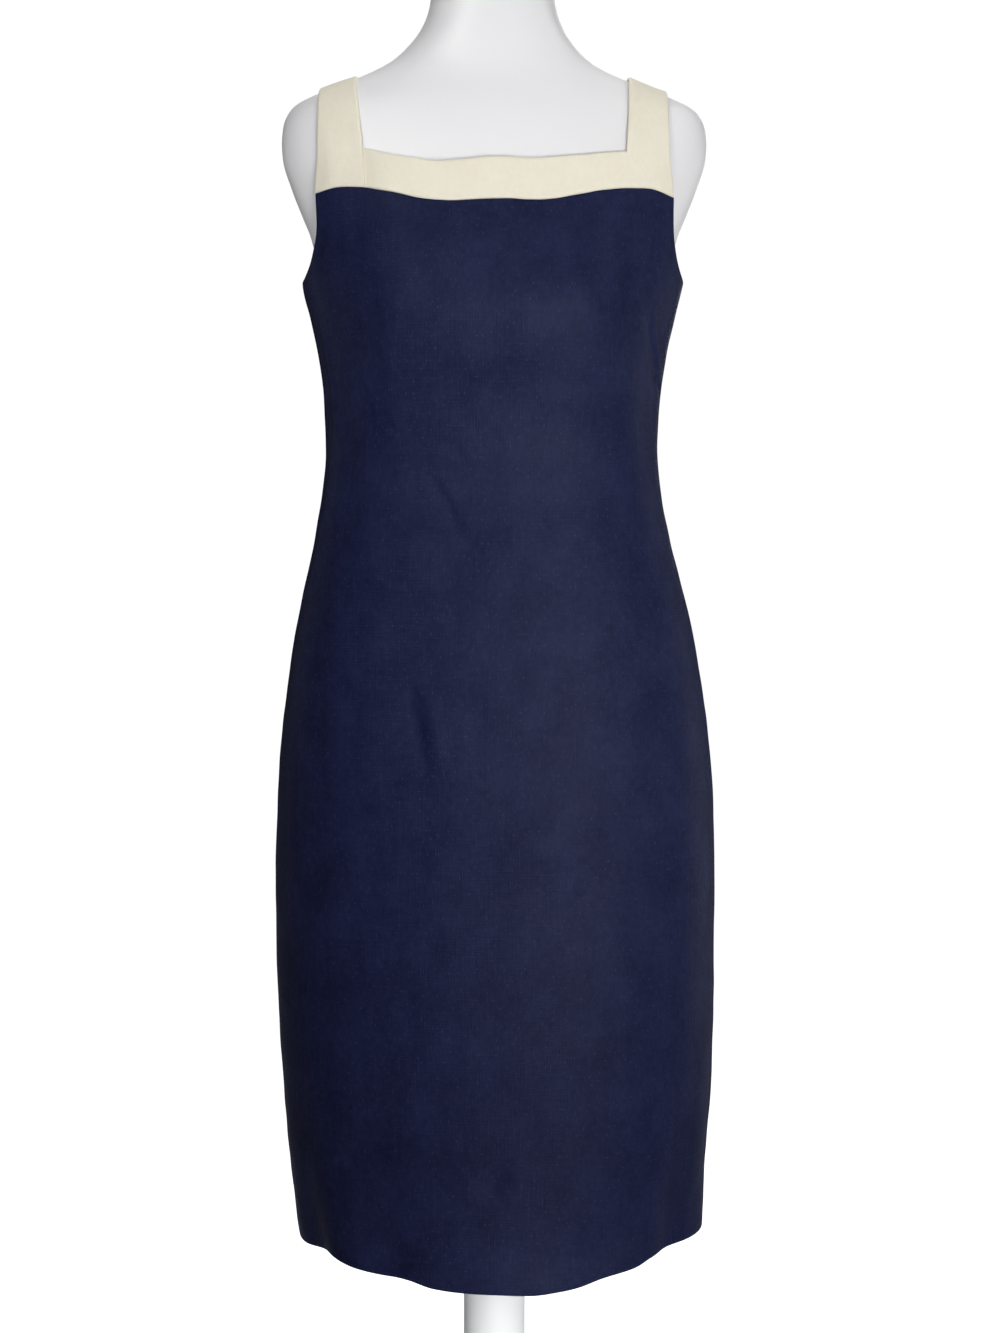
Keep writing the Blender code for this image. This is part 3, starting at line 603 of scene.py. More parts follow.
def strap_side(side, back):
    """The band's end against a strap's inner edge."""
    inner = strap_table(back)[side + "_inner"]

    def x_at(up):
        return SIGN[side] * (inner(up * NECK_CORNER_RISE) - SEWN_GAP / 2)

    return x_at


def zip_side(side):
    """A back band's end at the zip."""

    def x_at(_up):
        return SIGN[side] * SEAM_GAP / 2

    return x_at


def settled(spot):
    """The right shoulder lies a little lower than the left one, and the neck's right side a little further in."""
    lean = NECK_LEAN * ease(*NECK_OUT, spot.x) * ease(*NECK_UP, spot.z)
    drop = SHOULDER_DROP * ease(*SHOULDER_OUT, spot.x) * ease(*SHOULDER_UP, spot.z) * (1 - ease(*SHOULDER_END, spot.z))
    spot.z -= drop
    spot.x -= lean
    return spot


# ---------------------------------------------------------------- cloth

def graded(steps, size, end_size=None):
    """Shares from 0 to 1 across a piece about so big, with fine steps at both edges and even ones between.

    end_size is given where a share is longer or shorter at the far edge.
    """
    start = [step / size for step in EDGE_STEPS]
    end = [1 - step / (end_size or size) for step in reversed(EDGE_STEPS)]
    return start[:-1] + levels(start[-1], end[0], steps) + end[1:]


class Grid:
    """One sheet's points, row by row, and how far each lies along the cloth from the sheet's edges."""

    def __init__(self, columns, rows, place):
        self.points = np.array([[place(across, up) for across in columns] for up in rows])
        self.normals = self.outward()
        steps = np.linalg.norm(np.diff(self.points, axis=1), axis=2)
        self.from_left = np.pad(np.cumsum(steps, axis=1), ((0, 0), (1, 0)))
        self.from_right = self.from_left[:, -1:] - self.from_left
        rises = np.linalg.norm(np.diff(self.points, axis=0), axis=2)
        self.from_low = np.pad(np.cumsum(rises, axis=0), ((1, 0), (0, 0)))
        self.from_high = self.from_low[-1:] - self.from_low

    def outward(self):
        """The surface's own normals, away from the middle of the form."""
        normals = np.cross(np.gradient(self.points, axis=1), np.gradient(self.points, axis=0))
        normals /= np.linalg.norm(normals, axis=2, keepdims=True)
        heart = self.points * (0.0, 0.0, 1.0)
        heart[..., 2] = np.minimum(heart[..., 2], HEART_HEIGHT)
        inwards = np.sum(normals * (self.points - heart), axis=2) < 0
        normals[inwards] *= -1
        return normals

    def lift(self, amount):
        """The points moved out along the normals, by one amount or one for each."""
        return self.points + self.normals * np.asarray(amount)[..., None]

    def edge_drop(self, left, right, low, high):
        """How far the cloth rolls in towards its edges, with a drop for each of them."""
        edges = (self.from_left, left), (self.from_right, right), (self.from_low, low), (self.from_high, high)
        rolls = [drop * (1 - np.minimum(distance / EDGE_REACH, 1)) ** 2 for distance, drop in edges]
        return np.maximum.reduce(rolls)


def rumple(points, size, height):
    """Uneven cloth: soft noise of about this size and height, in metres."""
    return height * np.array([[noise.noise(Vector(point) / size) for point in row] for row in points])


def creases(points):
    """How far the creases move each point of the dress out."""
    turn = np.degrees(np.arctan2(points[..., 0], -points[..., 1]))
    radius = np.hypot(points[..., 0], points[..., 1])
    out = np.zeros(turn.shape)
    for crease in CREASES:
        away = (turn - crease.turn + 180) % 360 - 180
        across, up = np.radians(away) * radius, points[..., 2] - crease.height
        run = math.radians(crease.end_turn - crease.turn) * radius
        rise = crease.end_height - crease.height
        along = np.clip((across * run + up * rise) / (run**2 + rise**2), 0, 1)
        distance = np.hypot(across - run * along, up - rise * along)
        fade = 1 - (2 * along - 1) ** 4
        out += crease.rise * fade * np.exp(-((distance / crease.width) ** 2))
    return out


def sheet_of_cloth(name, grid, outer, inner, grain):
    """A slab of cloth between two layers of points, with a UV map in metres of cloth.

    The grid starts as a square of one metre round the origin, so each point's place in it gives its row and column.
    """
    rows, columns = grid.points.shape[0] - 1, grid.points.shape[1] - 1
    work = bmesh.new()
    bmesh.ops.create_grid(work, x_segments=columns, y_segments=rows, size=0.5)
    doubled = bmesh.ops.extrude_face_region(work, geom=work.faces[:], use_keep_orig=True)["geom"]
    lower = {item for item in doubled if isinstance(item, bmesh.types.BMVert)}
    cells = {}
    for vert in work.verts:
        cell = round((vert.co.y + 0.5) * rows), round((vert.co.x + 0.5) * columns)
        cells[vert] = cell
        vert.co = (inner if vert in lower else outer)[cell]
    cloth_uv = work.loops.layers.uv.new("cloth")
    for face in work.faces:
        for loop in face.loops:
            loop[cloth_uv].uv = grain[cells[loop.vert]]
    bmesh.ops.recalc_face_normals(work, faces=work.faces)
    if work.calc_volume(signed=True) < 0:
        bmesh.ops.reverse_faces(work, faces=work.faces)
    return finished(name, work)


def finished(name, work, sharp=50):
    """A shaped piece as an object. Edges sharper than this many degrees stay crisp."""
    mesh = bpy.data.meshes.new(name)
    work.to_mesh(mesh)
    work.free()
    mesh.shade_smooth()
    mesh.set_sharp_from_angle(angle=math.radians(sharp))
    made = bpy.data.objects.new(name, mesh)
    bpy.context.scene.collection.objects.link(made)
    return made


def rounded(piece, width, sharp):
    """Softens a piece's edges that turn by more than sharp degrees."""
    rounding = piece.modifiers.new("rounding", "BEVEL")
    rounding.width = width
    rounding.segments = 3
    rounding.angle_limit = math.radians(sharp)


def dressed(piece, finish, slot, body, *nodes):
    """Gives a piece its material, and puts it on its body in place of its solids; slot is not used."""
    piece.data.materials.append(finish)
    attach(piece, body)
    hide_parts(*nodes)
    return piece


# ---------------------------------------------------------------- materials

def linear(code):
    """An sRGB colour such as "1f2a4c", as the shader's linear red, green, blue and alpha."""
    shares = [int(code[at:at + 2], 16) / 255 for at in (0, 2, 4)]
    return (*[c / 12.92 if c <= 0.04045 else ((c + 0.055) / 1.055) ** 2.4 for c in shares], 1.0)


def node(tree, kind, inputs=None, **settings):
    """Adds a node: its settings, and for each of its inputs a value or the output that feeds it."""
    made = tree.nodes.new("ShaderNode" + kind)
    for name, value in settings.items():
        setattr(made, name, value)
    for name, value in (inputs or {}).items():
        if isinstance(value, bpy.types.NodeSocket):
            tree.links.new(value, made.inputs[name])
        else:
            made.inputs[name].default_value = value
    return made


def surface(name, **settings):
    """A new material with its shader's plain settings, and that shader."""
    made = bpy.data.materials.new(name)
    made.use_nodes = True
    shader = made.node_tree.nodes["Principled BSDF"]
    for key, value in settings.items():
        shader.inputs[key.replace("_", " ")].default_value = value
    return made, made.node_tree, shader


# Linen: how rough its short nap is, where its noise counts as a slub, how sharply its flecks begin and how much
# they show, and the mean of its weighted unevenness, which is taken off to keep the tone midway.
NAP_ROUGHNESS = 0.25
SLUB_LIMITS = (0.58, 0.74)
FLECK_EDGE = 0.06
FLECK_STRENGTH = 0.40
TONE_MEAN = 1.39


def linen(name, deep, pale, fleck, fleck_share, contrast, relief, gloss, roughness, sheen):
    """Plain-woven linen, which lies matt, with uneven threads, thick slubs and pale flecks of bare fibre.

    Such linen's threads are about 0.7 mm apart. They are drawn at 1 mm, which is the finest that shows.
    """
    made, tree, shader = surface(name, Roughness=roughness, IOR=1.5)
    shader.inputs["Specular IOR Level"].default_value = gloss
    shader.inputs["Sheen Weight"].default_value = sheen
    shader.inputs["Sheen Roughness"].default_value = NAP_ROUGHNESS
    shader.inputs["Sheen Tint"].default_value = linear(pale)
    cloth = node(tree, "UVMap", uv_map="cloth").outputs["UV"]

    def uneven(wide_mm, long_mm, detail, start):
        """Uneven tone, from 0 to 1, in patches of this size. start shifts it, so that no two lie alike."""
        size = (1000 / wide_mm, 1000 / long_mm, 1.0)
        placed = node(tree, "Mapping", {"Vector": cloth, "Location": (start, start, 0), "Scale": size})
        settings = {"Vector": placed.outputs["Vector"], "Scale": 1.0, "Detail": detail, "Roughness": 0.6}
        return node(tree, "TexNoise", settings, noise_dimensions="2D").outputs["Fac"]

    def slubs(wide_mm, long_mm, detail, start, low, high):
        """Separate thick places: nothing where the patches lie below low, and all where they lie above high."""
        patch = uneven(wide_mm, long_mm, detail, start)
        limits = {"Value": patch, "From Min": low, "From Max": high}
        return node(tree, "MapRange", limits, interpolation_type="SMOOTHSTEP").outputs["Result"]

    def mixed(parts, total):
        """The sum of several values, each with its own weight."""
        for value, weight in parts:
            total = node(tree, "Math", {0: value, 1: weight, 2: total}, operation="MULTIPLY_ADD").outputs[0]
        return total

    warp = uneven(1.0, 14.0, 2.0, 3.1)
    weft = uneven(12.0, 1.0, 2.0, 11.7)
    thick_warp = slubs(2.2, 48.0, 1.0, 23.0, *SLUB_LIMITS)
    thick_weft = slubs(36.0, 1.8, 1.0, 31.0, *SLUB_LIMITS)
    mottle = uneven(5.0, 7.0, 4.0, 73.0)
    clouds = uneven(34.0, 46.0, 3.0, 47.0)
    fibres = slubs(1.3, 3.2, 0.0, 59.0, fleck_share, fleck_share + FLECK_EDGE)
    parts = [(warp, 0.36), (weft, 0.28), (thick_warp, 0.08), (thick_weft, 0.08), (mottle, 0.9), (clouds, 1.2)]
    tone = mixed([(value, weight * contrast) for value, weight in parts], 0.5 - TONE_MEAN * contrast)
    shades = {0: tone, 6: linear(deep), 7: linear(pale)}
    ground = node(tree, "Mix", shades, data_type="RGBA", clamp_factor=True).outputs[2]
    bare = node(tree, "Math", {0: fibres, 1: FLECK_STRENGTH}, operation="MULTIPLY").outputs[0]
    colour = node(tree, "Mix", {0: bare, 6: ground, 7: linear(fleck)}, data_type="RGBA").outputs[2]
    tree.links.new(colour, shader.inputs["Base Color"])
    height = mixed([(warp, 1.0), (weft, 1.0), (thick_warp, 0.6), (thick_weft, 0.7)], 0.0)
    raised = node(tree, "Bump", {"Strength": 1.0, "Distance": relief, "Height": height})
    tree.links.new(raised.outputs["Normal"], shader.inputs["Normal"])
    return made


# Paint: how wide its faint patches are, how dark the darker ones, and how their gloss varies.
PAINT_PATCH_MM = 111.1
PAINT_SHADE = 0.955
PAINT_GLOSS = (-0.05, 0.07)


def painted(name, colour, roughness, grain_mm, relief, metallic=0.0):
    """A sprayed or moulded skin: even, satin, with the faint orange peel that paint dries to."""
    made, tree, shader = surface(name, Roughness=roughness, Metallic=metallic)
    place = node(tree, "TexCoord").outputs["Object"]
    peel = node(tree, "TexNoise", {"Vector": place, "Scale": 1000 / grain_mm, "Detail": 2.0}).outputs["Fac"]
    wide = node(tree, "TexNoise", {"Vector": place, "Scale": 1000 / PAINT_PATCH_MM, "Detail": 3.0}).outputs["Fac"]
    darker = [share * PAINT_SHADE for share in linear(colour)[:3]] + [1.0]
    tint = node(tree, "Mix", {0: wide, 6: darker, 7: linear(colour)}, data_type="RGBA").outputs[2]
    tree.links.new(tint, shader.inputs["Base Color"])
    smoother, rougher = [roughness + change for change in PAINT_GLOSS]
    gloss = node(tree, "MapRange", {"Value": wide, "To Min": smoother, "To Max": rougher})
    tree.links.new(gloss.outputs["Result"], shader.inputs["Roughness"])
    raised = node(tree, "Bump", {"Strength": 1.0, "Distance": relief, "Height": peel})
    tree.links.new(raised.outputs["Normal"], shader.inputs["Normal"])
    return made


# Navy linen, woven and then dyed in the piece: deep blue and a little cloudy, its slubs only just paler.
navy_linen = linen(
    "navy_linen", deep="1f2134", pale="31354f", fleck="42445f", fleck_share=0.78, contrast=0.55,
    relief=0.00012, gloss=0.07, roughness=0.52, sheen=0.04,
)
# Cream linen, woven and half bleached: still a little yellow, with threads that vary softly in tone.
cream_linen = linen(
    "cream_linen", deep="dcd5c1", pale="eee9d9", fleck="f6f1e3", fleck_share=0.84, contrast=0.40,
    relief=0.00007, gloss=0.20, roughness=0.75, sheen=0.02,
)
# Polyester zip tape, woven flat and dyed to match: the same dark blue, closer and smoother than the linen.
tape_polyester = linen(
    "zip_tape_polyester", deep="141832", pale="1d2344", fleck="2a3156", fleck_share=0.78, contrast=0.4,
    relief=0.00012, gloss=0.20, roughness=0.65, sheen=0.02,
)
# Cast zinc, stoved with a thin dark blue enamel: a satin shine, with the metal glinting through a little.
zip_enamel = painted("zip_enamelled_zinc", "232845", 0.34, 0.8, 0.00001, metallic=0.3)
# Glass-fibre shell, moulded, sprayed white and rubbed down: it shines softly.
form_lacquer = painted("form_white_lacquer", "ebeaec", 0.44, 2.5, 0.00001)
# Steel tube and plate with a pale baked powder coat: satin, with a fine orange peel.
powder_coat = painted("stand_powder_coat", "f1f2f3", 0.40, 1.6, 0.00002)


# ---------------------------------------------------------------- the dress

BODY = "dress_and_form"

# Worn cloth is never quite even: how long its soft waves are, and how high. The navy calms to a share of them over
# the last stretch below the band.
NAVY_RUMPLES = ((0.055, 0.0009), (0.022, 0.0004))
CREAM_RUMPLES = ((0.030, 0.0007), (0.012, 0.0002))
SEAM_CALM = 0.030
SEAM_RUMPLE = 0.25

# Where across its bolt each piece was cut, in metres, so no two pieces show the same threads.
CUT_FROM = {
    "front_panel": 0.0, "back_panel_left": 1.3, "back_panel_right": 2.1, "front_band": 0.0, "back_band_left": 0.7,
    "back_band_right": 1.1, "strap_left": 1.6, "strap_right": 2.2,
}


def rumpled(points, sizes):
    """The sum of the waves of several sizes."""
    return sum(rumple(points, size, height) for size, height in sizes)


def navy_panel(name, node_name, columns, place, middle):
    """A panel of the dress, with its creases, its rolled edges and the hem's double turn-up.

    Its threads run straight down the column that middle numbers.
    """
    rows = graded(PANEL_ROWS * FINE_ROWS, PANEL_ROWS * LOW_ROW, PANEL_ROWS * HIGH_ROW)
    grid = Grid(columns, rows, place)
    calm = np.minimum(grid.from_high / SEAM_CALM, 1)
    relief = creases(grid.points) + rumpled(grid.points, NAVY_RUMPLES) * (SEAM_RUMPLE + (1 - SEAM_RUMPLE) * calm)
    turn_up = np.clip((HEM_TURN_UP - grid.from_low) / HEM_STEP, 0, 1)
    outer = grid.lift(relief - grid.edge_drop(*[NAVY_EDGE_DROP] * 4))
    inner = grid.lift(relief - NAVY_CLOTH - HEM_DOUBLE * turn_up)
    across = grid.from_left - grid.from_left[:, middle:middle + 1] + CUT_FROM[node_name]
    grain = np.stack([across, grid.points[..., 2]], axis=2)
    piece = sheet_of_cloth(name, grid, outer, inner, grain)
    return dressed(piece, navy_linen, "navy_linen", BODY, node_name)


def cream_piece(name, node_name, columns, rows, place, shape):
    """A doubled piece of cream cloth.

    Its shape says how far it lies off its place, how far its underside is pressed on to the form, and how far
    its left, right, low and high edges roll in.
    """
    grid = Grid(columns, rows, place)
    off, pressed, *drops = shape(grid)
    relief = rumpled(grid.points, CREAM_RUMPLES) + off
    outer = grid.lift(relief - grid.edge_drop(*drops))
    inner = grid.lift(relief - CREAM_CLOTH - pressed)
    grain = np.stack([grid.from_left + CUT_FROM[node_name], grid.from_low], axis=2)
    piece = sheet_of_cloth(name, grid, outer, inner, grain)
    return dressed(piece, cream_linen, "cream_linen", BODY, node_name)


def swell(distance, one):
    """A soft rise across a piece, by how far each of its points is from one of its edges."""
    return one.rise * np.exp(-(((distance - one.middle) / one.spread) ** 2))


def pressed_edge(distance):
    """The turned edge is thicker and lies close on the form, so no dark slit shows under it."""
    return PRESS * (1 - np.minimum(distance / PRESS_REACH, 1))


def back_band_shape(grid):
    """The two back bands lie flat: turned at the zip, sewn at the strap."""
    return 0.0, pressed_edge(grid.from_high), CREAM_EDGE_DROP, SEWN_DROP, CREAM_EDGE_DROP, CREAM_EDGE_DROP


def front_band_shape(grid):
    """The front band dips under its seam with the left strap, and runs level into the right one."""
    between_ends = (1 - swell(grid.from_left, BAND_LEFT_END)) * (1 - swell(grid.from_right, BAND_RIGHT_END))
    lifted = BAND_STANDS_OFF * between_ends
    off = lifted + swell(grid.from_left, LEFT_SEAM_DIP)
    return off, lifted + pressed_edge(grid.from_high), 0.0, 0.0, CREAM_EDGE_DROP, CREAM_EDGE_DROP


def strap_drops(grid):
    """The straps' edges all turn, but for the inner one where it is sewn to the bands."""
    from_seams = np.minimum(grid.from_low, grid.from_high)
    inner = SEWN_DROP + (CREAM_EDGE_DROP - SEWN_DROP) * np.clip((from_seams - STRAP_SEWN) / SEWN_FADE, 0, 1)
    return inner, CREAM_EDGE_DROP, CREAM_EDGE_DROP, CREAM_EDGE_DROP


def left_strap_shape(grid):
    """The left strap has a soft upright hollow inside its middle and a soft ridge outside it, over the seam."""
    folds = swell(grid.from_left, STRAP_RIDGE) + swell(grid.from_left, STRAP_HOLLOW)
    return folds * swell(grid.from_low, STRAP_FOOT), pressed_edge(grid.from_left), *strap_drops(grid)


def right_strap_shape(grid):
    """The right strap's inner edge stands off the form."""
    from_seams = np.minimum(grid.from_low, grid.from_high)
    free = np.clip(from_seams - STRAP_FREE_FROM, 0, STRAP_FREE_FADE) / STRAP_FREE_FADE
    return free * swell(grid.from_left, RIGHT_STRAP_EDGE), 0.0, *strap_drops(grid)


def front_place(across, up):
    """A point of the front panel, from its left edge to its right one."""
    return panel_point(side_of(across - 0.5), False, no_turn, abs(across - 0.5) * 2, up * PANEL_ROWS)


front_columns = graded(steps=132, size=0.46)
navy_panel(
    "front_panel_cloth", "front_panel", front_columns, front_place, middle=len(front_columns) // 2,
)
for side in SIGN:
    navy_panel(
        "back_panel_cloth_" + side, "back_panel_" + side, graded(steps=66, size=0.235),
        lambda across, up, side=side: panel_point(side, True, slit_turn, across, up * PANEL_ROWS), middle=0,
    )

band_ends = strap_side("left", False), strap_side("right", False)
cream_piece(
    "front_band_cloth", "front_band", graded(steps=110, size=0.225), graded(steps=18, size=0.035),
    lambda along, up: band_point(False, *band_ends, along, up), front_band_shape,
)
for side, strap_shape in (("left", left_strap_shape), ("right", right_strap_shape)):
    cream_piece(
        "back_band_cloth_" + side, "back_band_" + side, graded(steps=56, size=0.108), graded(steps=18, size=0.034),
        lambda along, up, ends=(zip_side(side), strap_side(side, True)): band_point(True, *ends, along, up),
        back_band_shape,
    )
    cream_piece(
        "strap_cloth_" + side, "strap_" + side, graded(steps=20, size=0.036), graded(steps=130, size=0.40),
        lambda across, up, side=side: settled(strap_point(side, across, 180 * up - 90)), strap_shape,
    )

# ---------------------------------------------------------------- the zip

TAPE_WIDTH = 0.022
TAPE_THICKNESS = 0.001
TAPE_EASE = 0.0002
TAPE_TOP = 1.3495
# From so far below the band, and over the second length, the tape goes in to make room for the thicker cream.
TAPE_GOES_IN = 0.030
TAPE_GOING_IN = 0.020


def tape_place(across, up):
    """A point of the back's surface over the zip's tape."""
    bottom = BODY_ROWS[ZIP_BOTTOM_ROW]
    z = bottom + (TAPE_TOP - bottom) * up
    x = TAPE_WIDTH * (across - 0.5)
    return Vector((x, upper_depth(x, z, True, CREAM_CLOTH), z))


def make_zip_tape():
    """The tape lies under the two back panels, and follows their waves."""
    grid = Grid(levels(0, 1, 12), levels(0, 1, 140), tape_place)
    above_start = grid.points[..., 2] - seam_height(True, 0.0) + TAPE_GOES_IN
    under_band = np.clip(above_start / TAPE_GOING_IN, 0, 1)
    cover = NAVY_CLOTH + (CREAM_CLOTH - NAVY_CLOTH) * under_band - rumpled(grid.points, NAVY_RUMPLES)
    top = grid.lift(-cover - SEAM_GAP - TAPE_EASE)
    under = grid.lift(-cover - SEAM_GAP - TAPE_EASE - TAPE_THICKNESS)
    piece = sheet_of_cloth("zip_tape_woven", grid, top, under, np.stack([grid.from_left, grid.from_low], axis=2))
    dressed(piece, tape_polyester, "zip_tape", BODY, "zip_tape")


make_zip_tape()
for name in ("zip_slider", "zip_pull"):
    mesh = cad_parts[name].data
    mesh.materials.clear()
    mesh.materials.append(zip_enamel)

# ---------------------------------------------------------------- the form and its stand

FORM_AROUND = 160
FORM_ROW = 0.005
TURNED_AROUND = 96
TORSO_ROUNDING = 0.0015
PAINTED_ROUNDING = 0.0008
PLATE_ROUNDING = 0.0012


def make_torso():
    """The shell, ring by ring from its flat underside to the top of its neck."""
    heights = [FORM_SECTIONS[0].height]
    for section in FORM_SECTIONS[1:]:
        steps = math.ceil((section.height - heights[-1]) / FORM_ROW)
        heights += levels(heights[-1], section.height, steps)[1:]
    rows = len(heights) - 1
    work = bmesh.new()
    bmesh.ops.create_grid(work, x_segments=FORM_AROUND, y_segments=rows, size=0.5)
    for vert in work.verts:
        turn = 360 * round((vert.co.x + 0.5) * FORM_AROUND) / FORM_AROUND
        z = heights[round((vert.co.y + 0.5) * rows)]
        vert.co = settled(ring_point(form, FORM_ROUNDNESS, FORM_BUST, turn, z))
    bmesh.ops.remove_doubles(work, verts=work.verts, dist=MERGE)
    bmesh.ops.holes_fill(work, edges=[edge for edge in work.edges if edge.is_boundary], sides=0)
    bmesh.ops.recalc_face_normals(work, faces=work.faces)
    made = finished("form_torso_shell", work)
    rounded(made, TORSO_ROUNDING, sharp=45)
    dressed(made, form_lacquer, "form_shell", BODY, "form_torso")


def turned(name, node_name, outline, rounding=PAINTED_ROUNDING):
    """A piece turned about the upright axis, from its outline in radius and height."""
    work = bmesh.new()
    points = [work.verts.new((radius, 0.0, height)) for radius, height in outline]
    closing = [(points[-1], points[0])] if outline[0][0] > 0 else []
    edges = [work.edges.new(pair) for pair in [*zip(points, points[1:]), *closing]]
    bmesh.ops.spin(
        work, geom=points + edges, axis=(0, 0, 1), cent=(0, 0, 0), angle=math.tau, steps=TURNED_AROUND, use_merge=True,
    )
    bmesh.ops.remove_doubles(work, verts=work.verts, dist=MERGE)
    bmesh.ops.recalc_face_normals(work, faces=work.faces)
    made = finished(name, work, sharp=30)
    rounded(made, rounding, sharp=30)
    dressed(made, powder_coat, "stand_paint", BODY, node_name)


make_torso()
flange_top = FORM_SECTIONS[0].height - SEAM_GAP
flange_bottom = flange_top - FLANGE_THICKNESS
turned(
    "form_flange_plate", "form_flange",
    [(0.0, flange_top), (FLANGE_RADIUS, flange_top), (FLANGE_RADIUS, flange_bottom + FLANGE_BREAK),
     (FLANGE_RADIUS - FLANGE_BREAK, flange_bottom), (0.0, flange_bottom)],
)
pole_top, pole_bottom = flange_bottom - SEAM_GAP, BASE_THICKNESS + SEAM_GAP
turned(
    "form_pole_tube", "form_pole",
    [(0.0, pole_top), (POLE_RADIUS, pole_top), (POLE_RADIUS, pole_bottom), (0.0, pole_bottom)],
)
collar_inner = POLE_RADIUS + SEAM_GAP
turned(
    "form_base_collar_ring", "form_base_collar",
    [(collar_inner, COLLAR_TOP), (COLLAR_TOP_RADIUS - EDGE_BREAK, COLLAR_TOP),
     (COLLAR_TOP_RADIUS, COLLAR_TOP - 1.5 * EDGE_BREAK),
     (COLLAR_FOOT_RADIUS - EDGE_BREAK, pole_bottom + 2 * EDGE_BREAK),
     (COLLAR_FOOT_RADIUS, pole_bottom), (collar_inner, pole_bottom)],
)
turned(
    "form_base_plate", "form_base",
    [(0.0, BASE_THICKNESS), (BASE_RADIUS - EDGE_BREAK, BASE_THICKNESS),
     (BASE_RADIUS, BASE_THICKNESS - EDGE_BREAK), (BASE_RADIUS, 0.0), (0.0, 0.0)],
    rounding=PLATE_ROUNDING,
)

# ---------------------------------------------------------------- floor, light and camera

FLOOR_RADIUS = 9.0
FLOOR_BELOW = 0.0006
# The floor's glow grows between these distances from the base, from this share at the middle, so the dimmer glow round
# the base is a painted shade. Only so much of it lights the dress.
FLOOR_PAINTED_SHADE = (0.25, 1.0)
FLOOR_MIDDLE = 0.25
FLOOR_LIGHTS = 0.18

# The tones of a catalogue picture: the light that goes in, and what comes out, with the darks drawn down.
TONES = (
    (0.0, 0.0), (0.010, 0.0032), (0.016, 0.0070), (0.025, 0.0146), (0.0375, 0.0273), (0.076, 0.0685), (0.120, 0.1150),
    (0.300, 0.3000), (1.0, 1.0),
)

# The studio's lamps: where each stands and points, the side of its square, its watts, and how wide its beam is.
Softbox = namedtuple("Softbox", "name place aim size watts spread")
MID_DRESS = (0.02, 0.0, 1.15)
SOFTBOXES = (
    Softbox("key_light", (0.6, -1.9, 0.8), MID_DRESS, 0.7, 5.9, 90),
    Softbox("right_front_light", (1.2, -1.6, 1.0), MID_DRESS, 0.7, 1.65, 90),
    Softbox("left_front_light", (-1.0, -1.6, 2.4), (-0.08, 0.0, 1.35), 0.5, 1.43, 50),
    Softbox("left_rim_light", (-1.9, 1.0, 1.3), MID_DRESS, 0.7, 0.55, 90),
    Softbox("right_rim_light", (1.9, 1.0, 1.3), MID_DRESS, 0.7, 0.70, 90),
    Softbox("top_light", (0.0, -0.3, 3.2), MID_DRESS, 0.7, 0.7, 90),
    Softbox("top_back_light", (0.0, 1.0, 3.0), MID_DRESS, 0.7, 4.4, 90),
    Softbox("top_right_light", (1.5, 0.2, 2.6), MID_DRESS, 0.7, 1.4, 90),
    Softbox("skirt_right_light", (1.7, 0.7, 0.6), (0.1, 0.0, 0.8), 0.5, 0.18, 40),
    Softbox("skirt_left_light", (-1.7, 0.7, 0.6), (-0.1, 0.0, 0.8), 0.5, 0.04, 40),
    Softbox("pole_light", (0.3, -1.2, 0.35), (0.0, 0.0, 0.20), 0.2, 0.30, 26),
    Softbox("back_light", (0.6, 2.6, 2.0), (0.0, 0.0, 1.0), 1.4, 14, 180),
)


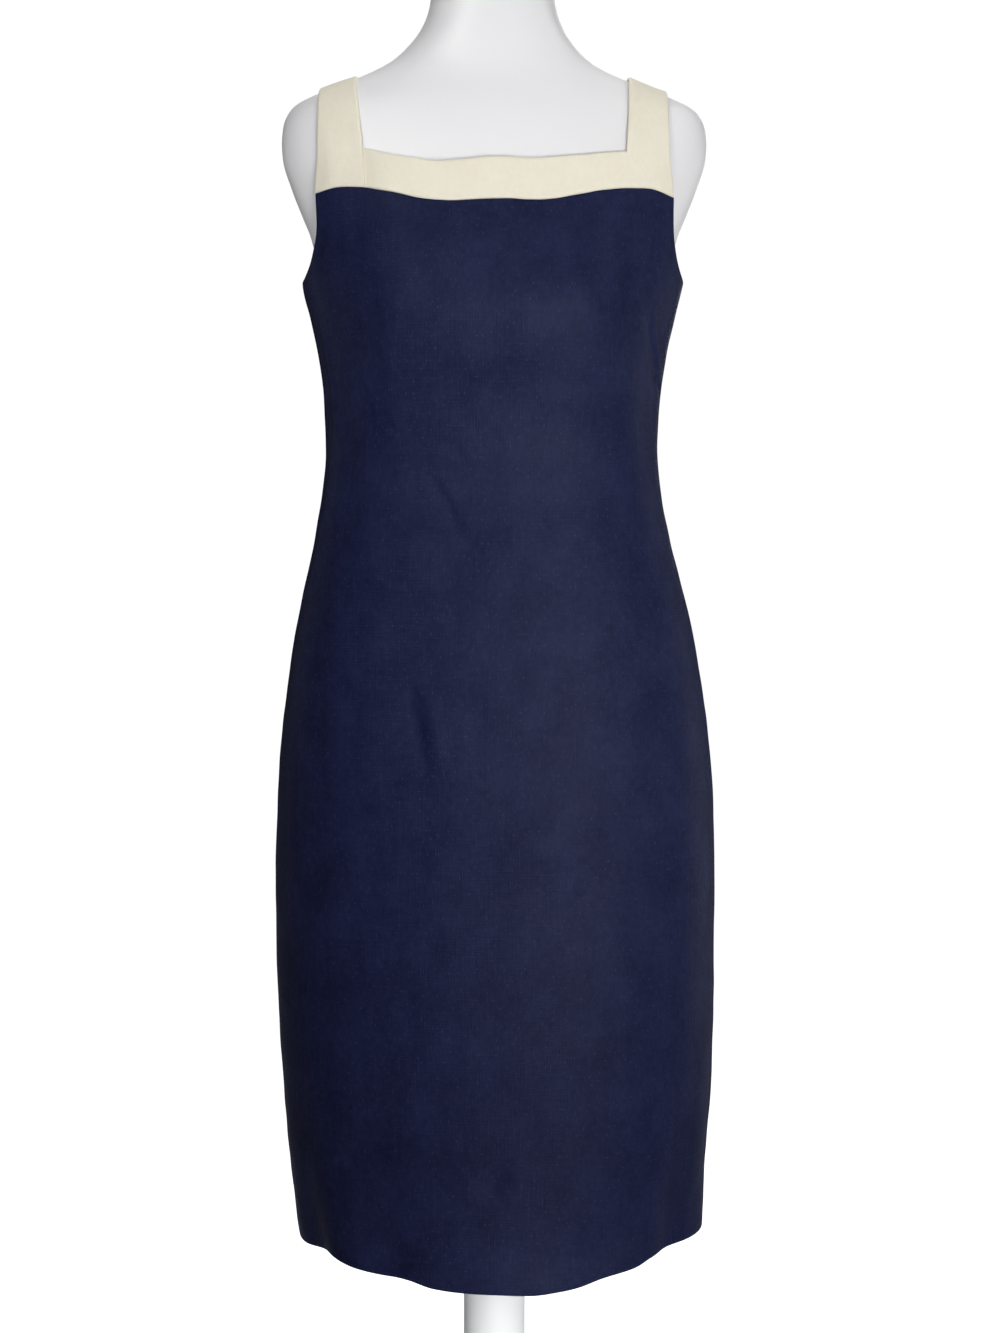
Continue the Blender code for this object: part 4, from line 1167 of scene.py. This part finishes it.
def make_floor():
    """A plain white floor that also glows. Round the base it is darker, partly in the stand's own shadow and partly
    from a painted shade where its glow is dimmed; further out it is lit and glows evenly.
    """
    work = bmesh.new()
    bmesh.ops.create_circle(work, cap_ends=True, segments=TURNED_AROUND, radius=FLOOR_RADIUS)
    bmesh.ops.translate(work, vec=(0.0, 0.0, -FLOOR_BELOW), verts=work.verts)
    floor = finished("floor", work)
    # Uncoated white paper: matt, so no lamp shines on it.
    paper, tree, shader = surface("floor_white_paper", Roughness=0.9)
    shader.inputs["Base Color"].default_value = linear("f2f2f2")
    place = node(tree, "TexCoord").outputs["Object"]
    away = node(tree, "VectorMath", {0: place}, operation="LENGTH").outputs["Value"]
    seen = node(tree, "LightPath").outputs["Is Camera Ray"]
    near, far = FLOOR_PAINTED_SHADE
    # Lower glow near the base: a painted shade round the stand.
    fading = {"Value": away, "From Min": near, "From Max": far, "To Min": FLOOR_MIDDLE, "To Max": 1.0}
    shown = node(tree, "MapRange", fading).outputs["Result"]
    share = node(tree, "MapRange", {"Value": seen, "To Min": FLOOR_LIGHTS, "To Max": 1.0}).outputs["Result"]
    glow = node(tree, "Math", {0: shown, 1: share}, operation="MULTIPLY").outputs[0]
    tree.links.new(glow, shader.inputs["Emission Strength"])
    shader.inputs["Emission Color"].default_value = linear("ffffff")
    floor.data.materials.append(paper)


def make_sky(light, shown):
    """An even white studio all round, which shows brighter than it lights."""
    world = bpy.data.worlds.new("white_studio")
    world.use_nodes = True
    tree = world.node_tree
    tree.nodes.clear()
    seen = node(tree, "LightPath").outputs["Is Camera Ray"]
    spread = {"Value": seen, "To Min": light, "To Max": shown}
    strength = node(tree, "MapRange", spread).outputs["Result"]
    back = node(tree, "Background", {"Color": linear("ffffff"), "Strength": strength})
    node(tree, "OutputWorld", {"Surface": back.outputs["Background"]})
    bpy.context.scene.world = world


def hang(softbox):
    """Puts up one lamp, turned towards its aim."""
    light = bpy.data.lights.new(softbox.name, "AREA")
    light.size = softbox.size
    light.energy = softbox.watts
    light.spread = math.radians(softbox.spread)
    lamp = bpy.data.objects.new(softbox.name, light)
    lamp.location = softbox.place
    lamp.rotation_euler = (Vector(softbox.aim) - Vector(softbox.place)).to_track_quat("-Z", "Y").to_euler()
    bpy.context.scene.collection.objects.link(lamp)


def make_camera():
    """The photograph's camera: upright, between waist and hips, and tipped a little down."""
    camera = bpy.data.objects.new("camera", bpy.data.cameras.new("camera"))
    camera.data.lens = FOCAL_PIXELS * SENSOR / PHOTO_HEIGHT_PIXELS
    camera.data.sensor_width = SENSOR
    camera.location = CAMERA_PLACE
    camera.rotation_euler = (math.radians(90 - CAMERA_TILT), 0.0, 0.0)
    bpy.context.scene.collection.objects.link(camera)
    bpy.context.scene.camera = camera


def set_tones():
    """Lays the tone curve over the plain view transform."""
    view = bpy.context.scene.view_settings
    view.view_transform = "Standard"
    view.use_curve_mapping = True
    tones = view.curve_mapping.curves[3].points
    for light, shown in TONES[1:-1]:
        tones.new(light, shown).handle_type = "AUTO_CLAMPED"
    view.curve_mapping.update()


make_floor()
make_sky(light=0.04, shown=1.02)
for softbox in SOFTBOXES:
    hang(softbox)
make_camera()
set_tones()
